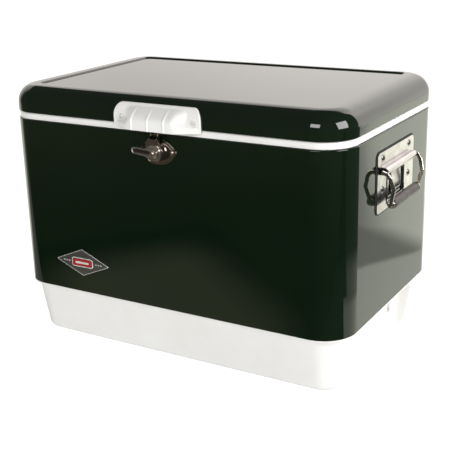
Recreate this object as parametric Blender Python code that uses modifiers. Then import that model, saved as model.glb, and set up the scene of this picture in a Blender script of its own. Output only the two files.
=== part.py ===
"""Steel-belted hard cooler with a hinged lid, a turn latch, two end bails and a drain.

Metres, +Z up. The front is -Y, the right end is +X, and the origin is the centre of
the underside, which stands on the ground.
"""

import math

import bmesh
import bpy
from mathutils import Matrix, Vector

# Driving dimensions of the body
LENGTH = 0.575
WIDTH = 0.370
CORNER = 0.051
BASE_TOP = 0.091
CASE_TOP = 0.3619
COLLAR_TOP = 0.3723
LID_BOTTOM = 0.3726
LID_TOP = 0.4132
LID_EDGE = 0.029
PANEL_DROP = 0.0020
PANEL_INSET = 0.035
PANEL_END = 0.006
SHEET = 0.0008
PLASTIC = 0.0028
GAP = 0.0003
CORNER_STEPS = 5

# Cavity, as insets from the body's outer face
CAVITY_TOP_INSET = 0.030
CAVITY_FLOOR_INSET = 0.041
CAVITY_FLOOR = 0.042
FLOOR_EDGE = 0.004
COLLAR_INSET = 0.0016

# Base tub
BASE_STEP = 0.0085
BASE_TAPER = math.tan(math.radians(8.4))
BASE_EDGE = 0.014
SPIGOT_TOP = 0.101

# Drain, in a recess of the right end of the base
DRAIN_Y = 0.068
DRAIN_Z = 0.060
RECESS_HALF = 0.050
RECESS_TOP = 0.080
RECESS_X = 0.2545

# Hardware
HANDLE_Z = 0.308
LATCH_Z = 0.336
HINGE_Z = 0.3673
HINGE_X = 0.165
HINGE_OUT = 0.0044
STRIKE_HALF = 0.0065
BADGE_AT = (-0.154, 0.141)

HALF_X = LENGTH / 2
HALF_Y = WIDTH / 2
QUARTER = math.pi / 2

# Turns of an upright face's frame: its x runs along the face, its y up and its z outwards
FRONT = (QUARTER, 0.0, 0.0)
RIGHT = (QUARTER, 0.0, QUARTER)
LEFT = (QUARTER, 0.0, -QUARTER)
BACK = (QUARTER, 0.0, math.pi)
NO_TURN = (0.0, 0.0, 0.0)
# In such a frame: an outline drawn as (up, outwards) and made solid along the face
SIDE_ON = (QUARTER, 0.0, QUARTER)
# In such a frame: a turned piece whose axis runs along the face
AXIS_ALONG = (0.0, QUARTER, 0.0)


# ---------------------------------------------------------------- scene and materials

def clear_scene():
    for obj in list(bpy.data.objects):
        bpy.data.objects.remove(obj, do_unlink=True)


def new_collection(name):
    collection = bpy.data.collections.new(name)
    bpy.context.scene.collection.children.link(collection)
    return collection


def material(name, color, roughness, metallic=0.0):
    made = bpy.data.materials.new(name)
    made.use_nodes = True
    shader = made.node_tree.nodes["Principled BSDF"]
    shader.inputs["Base Color"].default_value = (*color, 1.0)
    shader.inputs["Roughness"].default_value = roughness
    shader.inputs["Metallic"].default_value = metallic
    return made


clear_scene()
PARTS = new_collection("steel_belted_cooler")
CUTTERS = new_collection("cutters")

PAINT = material("green_paint", (0.010, 0.022, 0.008), 0.08)
WHITE = material("white_plastic", (0.80, 0.79, 0.77), 0.35)
CHROME = material("chrome", (0.75, 0.73, 0.70), 0.12, 1.0)
GRIP = material("grip_plastic", (0.10, 0.085, 0.08), 0.45)
FOAM = material("foam", (0.75, 0.68, 0.45), 0.9)
RUBBER = material("black_rubber", (0.03, 0.03, 0.03), 0.7)
BADGE_METAL = material("badge_metal", (0.10, 0.11, 0.11), 0.25, 0.8)
BADGE_ENAMEL = material("badge_enamel", (0.45, 0.02, 0.03), 0.3)


def frame_empty(name, location, turn, parent=None):
    """An empty that places pieces on a face, or that sits on a joint's axis."""
    empty = bpy.data.objects.new(name, None)
    empty.parent = parent
    empty.location = location
    empty.rotation_euler = turn
    PARTS.objects.link(empty)
    return empty


def place(name, mesh, look=None, parent=None, location=(0, 0, 0), rotation=(0, 0, 0)):
    """A mesh as a named object of the cooler."""
    obj = bpy.data.objects.new(name, mesh)
    obj.parent = parent
    obj.location = location
    obj.rotation_euler = rotation
    if look:
        mesh.materials.append(look)
        PARTS.objects.link(obj)
    mesh.shade_smooth()
    mesh.set_sharp_from_angle(angle=math.radians(35))
    return obj


def cutter(name, mesh, parent=None, location=(0, 0, 0), rotation=(0, 0, 0), group=None):
    """A helper that cuts or joins, which is no part of the cooler."""
    obj = place(name, mesh, None, parent, location, rotation)
    obj.hide_render = True
    obj.display_type = "WIRE"
    (group or CUTTERS).objects.link(obj)
    return obj


BOOLEANS = []


def boolean(obj, operand, operation="DIFFERENCE"):
    """Notes a cut or a join, which add_booleans makes once every object is there."""
    BOOLEANS.append((obj, operand, operation))


def add_booleans():
    for obj, operand, operation in BOOLEANS:
        modifier = obj.modifiers.new(operation.lower(), "BOOLEAN")
        modifier.operation = operation
        if isinstance(operand, bpy.types.Collection):
            modifier.operand_type = "COLLECTION"
            modifier.collection = operand
        else:
            modifier.object = operand


def cutter_group(name):
    group = bpy.data.collections.new(name)
    CUTTERS.children.link(group)
    return group


BODY_BORES = cutter_group("body_bores")
LID_BORES = cutter_group("lid_bores")
BODY_POCKETS = cutter_group("body_foam_pockets")
LID_POCKETS = cutter_group("lid_foam_pockets")


# ---------------------------------------------------------------- meshes

def mesh_of(bm, name):
    bmesh.ops.recalc_face_normals(bm, faces=bm.faces)
    mesh = bpy.data.meshes.new(name)
    bm.to_mesh(mesh)
    bm.free()
    return mesh


def box_mesh(name, low, high):
    bm = bmesh.new()
    bmesh.ops.create_cube(bm, size=1.0)
    low, high = Vector(low), Vector(high)
    bmesh.ops.scale(bm, vec=high - low, verts=bm.verts)
    bmesh.ops.translate(bm, vec=(low + high) / 2, verts=bm.verts)
    return mesh_of(bm, name)


def cylinder_mesh(name, radius, low, high, sides=12):
    """A cylinder along local z."""
    bm = bmesh.new()
    bmesh.ops.create_cone(
        bm, cap_ends=True, segments=sides, radius1=radius, radius2=radius, depth=high - low
    )
    bmesh.ops.translate(bm, vec=(0, 0, (low + high) / 2), verts=bm.verts)
    return mesh_of(bm, name)


def evaluated_mesh(obj):
    """The object's mesh with its modifiers or its curve worked out; the object is removed."""
    PARTS.objects.link(obj)
    bpy.context.view_layer.update()
    graph = bpy.context.evaluated_depsgraph_get()
    mesh = bpy.data.meshes.new_from_object(obj.evaluated_get(graph))
    bpy.data.objects.remove(obj)
    bm = bmesh.new()
    bm.from_mesh(mesh)
    bmesh.ops.remove_doubles(bm, verts=bm.verts, dist=1e-6)
    bpy.data.meshes.remove(mesh)
    return bm


def turned_mesh(name, profile, steps=14):
    """A profile of (radius, height) points, top to bottom, turned about local z."""
    mesh = bpy.data.meshes.new(name)
    points = [(radius, 0.0, height) for radius, height in profile]
    mesh.from_pydata(points, [(i, i + 1) for i in range(len(points) - 1)], [])
    obj = bpy.data.objects.new(name, mesh)
    screw = obj.modifiers.new("turn", "SCREW")
    screw.steps = screw.render_steps = steps
    screw.use_merge_vertices = True
    screw.merge_threshold = 1e-6
    return mesh_of(evaluated_mesh(obj), name)


def outline_mesh(name, outlines, low, high):
    """Flat closed outlines, the inner ones holes, made solid from local z low to high."""
    curve = bpy.data.curves.new(name, "CURVE")
    curve.dimensions = "2D"
    curve.fill_mode = "BOTH"
    curve.extrude = (high - low) / 2
    for outline in outlines:
        spline = curve.splines.new("POLY")
        spline.points.add(len(outline) - 1)
        for point, (x, y) in zip(spline.points, outline):
            point.co = (x, y, 0.0, 1.0)
        spline.use_cyclic_u = True
    bm = evaluated_mesh(bpy.data.objects.new(name, curve))
    bmesh.ops.translate(bm, vec=(0, 0, (low + high) / 2), verts=bm.verts)
    return mesh_of(bm, name)


def wire_mesh(name, points, radius, sides_step=2):
    """A closed loop of round wire through the points."""
    curve = bpy.data.curves.new(name, "CURVE")
    curve.dimensions = "3D"
    curve.bevel_depth = radius
    curve.bevel_resolution = sides_step
    spline = curve.splines.new("POLY")
    spline.points.add(len(points) - 1)
    for point, place_at in zip(spline.points, points):
        point.co = (*place_at, 1.0)
    spline.use_cyclic_u = True
    return mesh_of(evaluated_mesh(bpy.data.objects.new(name, curve)), name)


def arc(centre, radius, start, end, steps):
    """Points on an arc, both ends included; angles in degrees."""
    angles = [math.radians(start + (end - start) * i / steps) for i in range(steps + 1)]
    return [(centre[0] + radius * math.cos(a), centre[1] + radius * math.sin(a)) for a in angles]


def circle(centre, radius, steps=16):
    return arc(centre, radius, 0, 360, steps)[:-1]


def rounded_rectangle(low, high, radius, steps=4):
    (x0, y0), (x1, y1) = low, high
    corners = [(x1, y1, 0), (x0, y1, 90), (x0, y0, 180), (x1, y0, 270)]
    points = []
    for x, y, start in corners:
        centre = (x + radius * (1 if x == x0 else -1), y + radius * (1 if y == y0 else -1))
        points += arc(centre, radius, start, start + 90, steps)
    return points


def swept_mesh(name, profile, closed=False):
    """A profile of (inset, height) points carried round the body's rounded plan.

    A third value in a point insets the two ends further. A closed profile makes a
    ring, and an open one is capped at both ends.
    """
    bm = bmesh.new()
    rings = []
    for inset, height, *more in profile:
        further = more[0] if more else 0.0
        x = HALF_X - inset - further
        y = HALF_Y - inset
        radius = max(CORNER - inset - further, 0.006)
        plan = rounded_rectangle((-x, -y), (x, y), radius, CORNER_STEPS)
        rings.append([bm.verts.new((*point, height)) for point in plan])
    pairs = list(zip(rings, rings[1:]))
    if closed:
        pairs.append((rings[-1], rings[0]))
    for lower, upper in pairs:
        for i in range(len(lower)):
            bm.faces.new((lower[i - 1], lower[i], upper[i], upper[i - 1]))
    if not closed:
        bm.faces.new(rings[0])
        bm.faces.new(rings[-1])
    return mesh_of(bm, name)


# ---------------------------------------------------------------- fasteners

def fastener(name, parent, at, seat, radius=0.0036, shank=0.0018, reach=0.006, bores=None):
    """A screw or rivet along local z whose head sits on height seat, with its bore."""
    dome = 0.6 * radius
    profile = [
        (0.0, dome),
        (0.62 * radius, 0.85 * dome),
        (radius, 0.25 * dome),
        (radius, 0.0),
        (shank, 0.0),
        (shank, -reach),
        (0.0, -reach - shank),
    ]
    location = (at[0], at[1], seat + GAP)
    place(name, turned_mesh(name, profile, 10), CHROME, parent, location)
    bore = cylinder_mesh(name + "_bore", shank + GAP, -reach - 0.004, 0.0002, 8)
    cutter(name + "_bore", bore, parent, location, group=bores or BODY_BORES)


# ---------------------------------------------------------------- shells of the body

def base_wall_inset(height):
    return BASE_STEP + BASE_TAPER * (BASE_TOP - 0.003 - height)


def base_outline():
    """The base tub's outer faces, from the spigot inside the case down to the underside."""
    edge_inset = base_wall_inset(BASE_EDGE)
    outer_corner = [
        (edge_inset + BASE_EDGE * (1 - math.cos(a)), BASE_EDGE * (1 - math.sin(a)))
        for a in (0.0, 0.5, 1.0, QUARTER)
    ]
    return [
        (0.0015, SPIGOT_TOP),
        (0.0015, BASE_TOP),
        (0.0, BASE_TOP),
        (0.0, BASE_TOP - 0.0024),
        (BASE_STEP, BASE_TOP - 0.003),
        *outer_corner,
    ]


def recess_box(name, grow=0.0, mouth=0.05, sink=0.02):
    """The drain recess, which is open outwards and downwards."""
    low = (RECESS_X - grow, DRAIN_Y - RECESS_HALF - grow, -sink)
    high = (RECESS_X + mouth, DRAIN_Y + RECESS_HALF + grow, RECESS_TOP + grow)
    return box_mesh(name, low, high)


def base_tub():
    tub = place("base_tub", swept_mesh("base_tub", base_outline()), WHITE)
    inner = [
        (0.0042, SPIGOT_TOP + 0.004),
        (0.0042, BASE_TOP - 0.0002),
        (BASE_STEP + PLASTIC, BASE_TOP - 0.0002),
        (base_wall_inset(0.014) + PLASTIC, 0.014),
        (base_wall_inset(0.014) + 0.013, 0.0032),
    ]
    hollow = cutter("base_hollow", swept_mesh("base_hollow", inner))
    block = cutter("recess_walls", recess_box("recess_walls", PLASTIC, 0.06, 0.03))
    boolean(hollow, block)
    boolean(tub, hollow)
    boolean(tub, cutter("recess", recess_box("recess")))
    boolean(tub, BODY_BORES)


def outer_case():
    """The steel belt: a thin ring whose top edge turns in under the collar."""
    outer = [
        (0.0, BASE_TOP + GAP),
        (0.0, CASE_TOP - 0.0030),
        (0.0009, CASE_TOP - 0.0009),
        (0.0030, CASE_TOP),
        (0.0140, CASE_TOP),
    ]
    inner = [
        (0.0140, CASE_TOP - SHEET),
        (0.0033, CASE_TOP - SHEET),
        (SHEET, CASE_TOP - 0.0034),
        (SHEET, BASE_TOP + GAP),
    ]
    case = place("outer_case", swept_mesh("outer_case", outer + inner, closed=True), PAINT)
    boolean(case, BODY_BORES)


def inner_liner():
    """The white tub of the cavity, with the collar that shows between case and lid."""
    wall = PLASTIC
    under = [
        (CAVITY_FLOOR_INSET + FLOOR_EDGE - 0.001, CAVITY_FLOOR - wall),
        (CAVITY_FLOOR_INSET - wall, CAVITY_FLOOR + FLOOR_EDGE - 0.001),
        (CAVITY_TOP_INSET - wall, CASE_TOP - 0.006),
        (CAVITY_TOP_INSET - wall, CASE_TOP + GAP),
    ]
    collar = [
        (0.0085, CASE_TOP + GAP),
        (0.0056, CASE_TOP + 0.0012),
        (COLLAR_INSET, CASE_TOP + 0.0034),
        (COLLAR_INSET, COLLAR_TOP - 0.0030),
        (0.0056, COLLAR_TOP - 0.0008),
        (0.0080, COLLAR_TOP),
    ]
    inside = [
        (CAVITY_TOP_INSET - 0.003, COLLAR_TOP),
        (CAVITY_TOP_INSET, COLLAR_TOP - 0.003),
        (CAVITY_FLOOR_INSET, CAVITY_FLOOR + FLOOR_EDGE),
        (CAVITY_FLOOR_INSET + FLOOR_EDGE, CAVITY_FLOOR),
    ]
    liner = place("inner_liner", swept_mesh("inner_liner", under + collar + inside), WHITE)
    boolean(liner, BODY_BORES)


def body_foam():
    """Insulation between the liner and the case and base."""
    outer = [
        (base_wall_inset(0.014) + 0.014, 0.0036),
        (base_wall_inset(0.014) + PLASTIC + 0.0006, 0.0145),
        (BASE_STEP + PLASTIC + 0.0006, BASE_TOP + 0.0001),
        (0.0048, BASE_TOP + 0.0002),
        (0.0048, SPIGOT_TOP + GAP),
        (SHEET + GAP, SPIGOT_TOP + GAP),
        (SHEET + GAP, CASE_TOP - 0.0042),
        (0.0034, CASE_TOP - SHEET - GAP),
        (CAVITY_TOP_INSET - PLASTIC - GAP, CASE_TOP - SHEET - GAP),
    ]
    inner = [
        (CAVITY_TOP_INSET - PLASTIC - GAP, CASE_TOP - 0.0061),
        (CAVITY_FLOOR_INSET - PLASTIC - GAP, CAVITY_FLOOR + FLOOR_EDGE - 0.0015),
        (CAVITY_FLOOR_INSET + FLOOR_EDGE - 0.0015, CAVITY_FLOOR - PLASTIC - GAP),
    ]
    foam = place("body_foam", swept_mesh("body_foam", outer + inner), FOAM)
    block = cutter("foam_recess", recess_box("foam_recess", PLASTIC + GAP, 0.06, 0.03))
    boolean(foam, block)
    boolean(foam, BODY_POCKETS)


# ---------------------------------------------------------------- shells of the lid

def lid_outline(sheet):
    """The lid pan's faces, drawn in by the sheet's thickness, from the hem to the panel."""
    radius = LID_EDGE - sheet
    centre = LID_TOP - LID_EDGE
    edge = [
        (LID_EDGE - radius * math.cos(a), centre + radius * math.sin(a))
        for a in (i * QUARTER / 6 for i in range(7))
    ]
    return [
        *edge,
        (PANEL_INSET - sheet, LID_TOP - sheet, PANEL_END),
        (PANEL_INSET + 0.001 - sheet, LID_TOP - PANEL_DROP - sheet, PANEL_END),
    ]


def lid_shell():
    hem = [(0.0042, LID_BOTTOM), (0.0009, LID_BOTTOM + 0.0008), (0.0, LID_BOTTOM + 0.0030)]
    hem_inside = [(0.0012, LID_BOTTOM + 0.0030), (0.0042, LID_BOTTOM + 0.0012)]
    profile = lid_outline(SHEET)[::-1] + hem_inside + hem + lid_outline(0.0)
    shell = place("lid_shell", swept_mesh("lid_shell", profile), PAINT)
    boolean(shell, LID_BORES)


def lid_liner():
    """The white inner face of the lid, with the plug that drops into the cavity."""
    profile = [
        (0.036, LID_BOTTOM - 0.012),
        (0.0335, LID_BOTTOM - 0.0095),
        (0.0325, LID_BOTTOM + 0.0001),
        (0.0048, LID_BOTTOM + 0.0001),
        (0.0048, LID_BOTTOM + 0.0026),
        (0.0350, LID_BOTTOM + 0.0026),
        (0.0362, LID_BOTTOM - 0.0088),
        (0.0372, LID_BOTTOM - 0.0094),
    ]
    place("lid_liner", swept_mesh("lid_liner", profile), WHITE)


def lid_foam():
    clear = SHEET + GAP
    upper = [(inset, height, *more) for inset, height, *more in lid_outline(clear)]
    lower = [
        (0.0375, LID_BOTTOM - 0.0091),
        (0.0366, LID_BOTTOM - 0.0085),
        (0.0354, LID_BOTTOM + 0.0029),
        (0.0052, LID_BOTTOM + 0.0029),
        (clear + 0.0005, LID_BOTTOM + 0.0036),
    ]
    foam = place("lid_foam", swept_mesh("lid_foam", lower + upper), FOAM)
    boolean(foam, LID_POCKETS)


# ---------------------------------------------------------------- lid handle

HANDLE_HALF = 0.074
HANDLE_TOP_HALF = 0.0605
HANDLE_SKIN = 0.0032
HANDLE_WALL = 0.0026
HANDLE_LOW = 0.3680
HANDLE_HIGH = 0.4040
HOOD_DEPTH = 0.0165
HOOD_FLAT = 0.034
HOOD_HALF = 0.053


def smooth_step(value):
    value = min(max(value, 0.0), 1.0)
    return value * value * (3 - 2 * value)


def handle_half_width(height):
    """Half the handle's width: straight sides with rounded upper corners."""
    corner = 0.020
    rise = max(height - (HANDLE_HIGH - corner), 0.0) / corner
    draw_in = 1 - math.sqrt(max(1 - rise ** 2, 0.0))
    return HANDLE_HALF - (HANDLE_HALF - HANDLE_TOP_HALF) * draw_in


def handle_out(x, height):
    """How far the handle's outer face stands out of the lid's upright face."""
    rise = max(height - (LID_TOP - LID_EDGE), 0.0)
    flange = math.sqrt((LID_EDGE + HANDLE_SKIN) ** 2 - rise ** 2) - LID_EDGE
    across = 1 - smooth_step((abs(x) - HOOD_FLAT) / (HOOD_HALF - HOOD_FLAT))
    up = math.sqrt(max(1 - smooth_step((height - 0.380) / 0.0195), 0.0))
    return flange + HOOD_DEPTH * across * up


def lid_handle(front):
    """A moulded grip: a flange screwed to the lid, and a hood that fingers go under."""
    rows, columns = 10, 24
    bm = bmesh.new()
    grid = []
    for row in range(rows + 1):
        height = HANDLE_LOW + (HANDLE_HIGH - HANDLE_LOW) * row / rows
        half = handle_half_width(height)
        xs = [half * (2 * column / columns - 1) for column in range(columns + 1)]
        points = [(x, height, handle_out(x, height)) for x in xs]
        grid.append([bm.verts.new(point) for point in points])
    for low, high in zip(grid, grid[1:]):
        for i in range(columns):
            bm.faces.new((low[i], low[i + 1], high[i + 1], high[i]))
    handle = place("lid_handle", mesh_of(bm, "lid_handle"), WHITE, front)
    wall = handle.modifiers.new("wall", "SOLIDIFY")
    wall.thickness = HANDLE_WALL
    wall.offset = -1.0
    wall.use_even_offset = True
    boolean(handle, LID_BORES)
    for side, x in (("left", -0.0615), ("right", 0.0615)):
        fastener(f"lid_handle_screw_{side}", front, (x, 0.3818), HANDLE_SKIN, bores=LID_BORES)
    pocket = box_mesh("handle_pocket", (-0.066, 0.376, -0.012), (0.066, 0.387, 0.002))
    cutter("handle_pocket", pocket, front, group=LID_POCKETS)


# ---------------------------------------------------------------- latch

def latch_strike(front):
    """The tab under the lid handle, whose foot turns outwards over the latch's axis."""
    low, high = 0.3740, 0.3845
    foot = LATCH_Z + 0.0035
    outline = [
        (high, GAP),
        (low, GAP),
        (low - 0.0025, 0.0020),
        (foot, 0.0020),
        (foot, 0.0080),
        (foot + 0.0015, 0.0080),
        (foot + 0.0015, 0.0035),
        (low - 0.0020, 0.0035),
        (low + 0.0005, 0.0018),
        (high, 0.0018),
    ]
    tab = outline_mesh("latch_strike", [outline], -STRIKE_HALF, STRIKE_HALF)
    strike = place("latch_strike", tab, CHROME, front, rotation=SIDE_ON)
    boolean(strike, LID_BORES)
    for side, x in (("left", -0.0036), ("right", 0.0036)):
        fastener(f"strike_rivet_{side}", front, (x, 0.3795), 0.0018, 0.0024, 0.0012, bores=LID_BORES)


def leaf_outline(tip, half_height):
    """A pointed leaf: two arcs that meet at tips on either side."""
    radius = (tip ** 2 + half_height ** 2) / (2 * half_height)
    spread = math.degrees(math.asin(tip / radius))
    low = radius - half_height
    upper = arc((0, -low), radius, 90 - spread, 90 + spread, 14)
    lower = arc((0, low), radius, 270 - spread, 270 + spread, 14)
    return upper + lower[1:-1]


def latch():
    """A turn latch: the lever carries a hook that slides over the strike's foot."""
    centre = frame_empty("latch_centre", (0.0, -HALF_Y, LATCH_Z), FRONT)
    ring_inner, ring_outer = 0.0134, 0.0152
    plate = outline_mesh("latch_plate", [leaf_outline(0.032, 0.0190)], 0.0003, 0.0015)
    base = place("latch_plate", plate, CHROME, centre)
    rings = [circle((0, 0), ring_outer, 28), circle((0, 0), ring_inner, 28)]
    wall = outline_mesh("boss_wall", rings, 0.0010, 0.0122)
    boolean(base, cutter("boss_wall", wall, centre), "UNION")
    slot = box_mesh("strike_slot", (-0.0082, 0.004, 0.0016), (0.0082, 0.022, 0.02))
    boolean(base, cutter("strike_slot", slot, centre))
    boolean(base, BODY_BORES)

    hook = arc((0, 0), 0.0123, -50, 38, 10) + arc((0, 0), 0.0090, 38, -50, 8)
    turn = frame_empty("latch_turn_axis", (0.0, -HALF_Y, LATCH_Z), FRONT)
    shaft_hole = circle((0, 0), 0.0029)
    disc = outline_mesh("latch_rotor", [circle((0, 0), 0.0127, 24), shaft_hole], 0.0098, 0.0118)
    rotor = place("latch_rotor", disc, CHROME, turn)
    boolean(rotor, cutter("hook", outline_mesh("hook", [hook], 0.0056, 0.0102), turn), "UNION")

    lever_angle = math.radians(-5)
    bar = [(0.010, 0.0060), (-0.010, 0.0055), (-0.0335, 0.0046), (-0.0345, 0.0034)]
    bar += [(-0.0345, -0.0034), (-0.0335, -0.0046), (-0.010, -0.0055), (0.010, -0.0060)]
    lever_mesh = outline_mesh("latch_lever", [bar, shaft_hole], 0.0124, 0.0180)
    lever = place("latch_lever", lever_mesh, CHROME, turn, rotation=(0, 0, lever_angle))
    edge = lever.modifiers.new("rounded", "BEVEL")
    edge.width = 0.0012
    edge.segments = 2
    edge.angle_limit = math.radians(60)

    pin = [(0, 0.0203), (0.0026, 0.0200), (0.0036, 0.0188), (0.0036, 0.0183), (0.0025, 0.0183)]
    pin += [(0.0025, -0.0060), (0, -0.0060)]
    place("latch_pin", turned_mesh("latch_pin", pin, 16), CHROME, centre)
    pin_bore = cylinder_mesh("latch_pin_bore", 0.0028, -0.0100, 0.0018)
    cutter("latch_pin_bore", pin_bore, centre, group=BODY_BORES)
    for side, x in (("left", -0.0245), ("right", 0.0245)):
        fastener(f"latch_screw_{side}", centre, (x, 0), 0.0015, radius=0.0029, shank=0.0015)
    pocket = box_mesh("latch_pocket", (-0.034, -0.018, -0.012), (0.034, 0.018, 0.001))
    cutter("latch_pocket", pocket, centre, group=BODY_POCKETS)


# ---------------------------------------------------------------- end handles

PLATE_HALF = 0.072
PLATE_LOW = 0.247 - HANDLE_Z
PLATE_HIGH = 0.335 - HANDLE_Z
PLATE_TOP = 0.0018
BAND_HALF = 0.058
PIVOT_OUT = 0.0064
ARM_AT = 0.0645
EYE_AT = 0.0525
GRIP_DROP = 0.048
GRIP_OUT = 0.0155
ROD = 0.0022


def bail_points():
    """The bail's wire: the pivot rod, two arms that bow outwards and draw in, the grip's rod."""
    draw_in = (ARM_AT - 0.003 - EYE_AT) / GRIP_DROP
    arm = [
        (ARM_AT - 0.0025, 0.0, PIVOT_OUT),
        (ARM_AT - 0.0003, -0.0012, PIVOT_OUT + 0.0018),
        (ARM_AT, -0.0035, 0.0135),
        (ARM_AT + 0.0005, -0.0080, 0.0168),
        (ARM_AT + 0.0008, -0.0245, 0.0212),
        (ARM_AT + 0.0004, -0.0360, 0.0185),
        (ARM_AT, -0.0445, 0.0166),
        (ARM_AT - 0.0004, -GRIP_DROP + 0.0008, GRIP_OUT + 0.0002),
        (ARM_AT - 0.0025, -GRIP_DROP, GRIP_OUT),
    ]
    arm = [(x + draw_in * y, y, z) for x, y, z in arm]
    return arm + [(-x, y, z) for x, y, z in reversed(arm)]


def end_handle(side, x, turn):
    """A plate with a hinge band, a bail that swings in the band and a turning grip."""
    end = frame_empty(f"{side}_handle_frame", (x, 0.0, HANDLE_Z), turn)
    outline = rounded_rectangle((-PLATE_HALF, PLATE_LOW), (PLATE_HALF, PLATE_HIGH), 0.007)
    opener = [(-0.030, -0.011), (-0.030, -0.049), (0.030, -0.049), (0.030, -0.011)]
    opener += [(0.016, -0.011), (0.016, -0.040), (-0.016, -0.040), (-0.016, -0.011)]
    plate_mesh = outline_mesh(f"{side}_handle_plate", [outline, opener], GAP, PLATE_TOP)
    plate = place(f"{side}_handle_plate", plate_mesh, CHROME, end)
    outer = [(0.0060, 0.0010), *arc((0, PIVOT_OUT), 0.0060, 0, 180, 8), (-0.0060, 0.0010)]
    bore = circle((0, PIVOT_OUT), 0.0033, 14)
    band_mesh = outline_mesh(f"{side}_band", [outer, bore], -BAND_HALF, BAND_HALF)
    boolean(plate, cutter(f"{side}_band", band_mesh, end, rotation=SIDE_ON), "UNION")
    boolean(plate, BODY_BORES)
    corners = [(x, y) for y in (0.018, -0.0275) for x in (-0.052, 0.052)]
    for number, at in enumerate(corners, 1):
        fastener(f"{side}_handle_screw_{number}", end, at, PLATE_TOP)
    pocket = box_mesh(f"{side}_pocket", (-0.060, -0.054, -0.012), (0.060, 0.024, 0.001))
    cutter(f"{side}_pocket", pocket, end, group=BODY_POCKETS)

    swing = frame_empty(f"{side}_bail_axis", (0, 0, PIVOT_OUT), NO_TURN, end)
    wire = wire_mesh(f"{side}_bail", bail_points(), ROD)
    wire.transform(Matrix.Translation((0, 0, -PIVOT_OUT)))
    bail = place(f"{side}_bail", wire, CHROME, swing)
    for x in (-EYE_AT, EYE_AT):
        eye_name = f"{side}_bail_eye_{'near' if x < 0 else 'far'}"
        eye = cylinder_mesh(eye_name, 0.0060, -0.0016, 0.0016, 16)
        location = (x, -GRIP_DROP, GRIP_OUT - PIVOT_OUT)
        boolean(bail, cutter(eye_name, eye, swing, location, AXIS_ALONG), "UNION")

    grip_at = (0, -GRIP_DROP, GRIP_OUT - PIVOT_OUT)
    spin = frame_empty(f"{side}_grip_axis", grip_at, NO_TURN, swing)
    half = EYE_AT - 0.0022
    sleeve = [(0.0027, half), (0.0064, half), (0.0075, half - 0.0012), (0.0075, 0.0012 - half)]
    sleeve += [(0.0064, -half), (0.0027, -half), (0.0027, half)]
    grip_mesh = turned_mesh(f"{side}_grip", sleeve, 20)
    place(f"{side}_grip", grip_mesh, GRIP, spin, rotation=AXIS_ALONG)


# ---------------------------------------------------------------- hinges

LEAF_HALF = 0.030
KNUCKLE = 0.0036
KNUCKLE_SPLIT = 0.0100


def hinge_leaf(name, hinge, up, reach, cut_spans, bores):
    """A leaf with its knuckles: up is 1 for the lid's leaf and -1 for the body's."""
    outline = [(-reach, 0.0020), (-reach, GAP), (0.0002, GAP)]
    outline += arc((0, HINGE_OUT), KNUCKLE, -75, 221, 14)
    outline = [(-x * up, y) for x, y in outline]
    hole = circle((0, HINGE_OUT), 0.0019, 12)
    mesh = outline_mesh(name, [outline, hole], -LEAF_HALF, LEAF_HALF)
    leaf = place(name, mesh, CHROME, hinge, rotation=SIDE_ON)
    low_y, high_y = sorted((0.0042 * up, -0.006 * up))
    for number, (start, end) in enumerate(cut_spans):
        gap = box_mesh(f"{name}_gap_{number}", (start, low_y, -0.001), (end, high_y, 0.012))
        boolean(leaf, cutter(f"{name}_gap_{number}", gap, hinge))
    boolean(leaf, bores)


def hinge(side, x):
    """A butt hinge on the back, with its pin just outside the body."""
    axis = frame_empty(f"{side}_hinge_axis", (x, HALF_Y, HINGE_Z), BACK)
    wide = LEAF_HALF + 0.001
    middle = [(-KNUCKLE_SPLIT - GAP, KNUCKLE_SPLIT + GAP)]
    outer = [(-wide, -KNUCKLE_SPLIT), (KNUCKLE_SPLIT, wide)]
    hinge_leaf(f"{side}_hinge_body_leaf", axis, -1, 0.029, middle, BODY_BORES)
    hinge_leaf(f"{side}_hinge_lid_leaf", axis, 1, 0.0166, outer, LID_BORES)
    end = LEAF_HALF + GAP
    pin = [(0, end + 0.0016), (0.0026, end + 0.0010), (0.0026, end), (0.0016, end), (0.0016, -end)]
    pin += [(0.0026, -end), (0.0026, -end - 0.0010), (0, -end - 0.0016)]
    pin_mesh = turned_mesh(f"{side}_hinge_pin", pin, 12)
    place(f"{side}_hinge_pin", pin_mesh, CHROME, axis, (0, 0, HINGE_OUT), AXIS_ALONG)
    for number, at in enumerate((-0.020, 0.020), 1):
        fastener(f"{side}_hinge_body_screw_{number}", axis, (at, -0.019), 0.0020)
        fastener(
            f"{side}_hinge_lid_screw_{number}", axis, (at, 0.0115), 0.0020, 0.0034, bores=LID_BORES
        )
    body_pocket = box_mesh(f"{side}_body_pocket", (-0.027, -0.026, -0.012), (0.027, -0.012, 0.001))
    cutter(f"{side}_body_pocket", body_pocket, axis, group=BODY_POCKETS)
    lid_pocket = box_mesh(f"{side}_lid_pocket", (-0.026, 0.0085, -0.012), (0.026, 0.0145, 0.001))
    cutter(f"{side}_lid_pocket", lid_pocket, axis, group=LID_POCKETS)


# ---------------------------------------------------------------- drain

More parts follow.
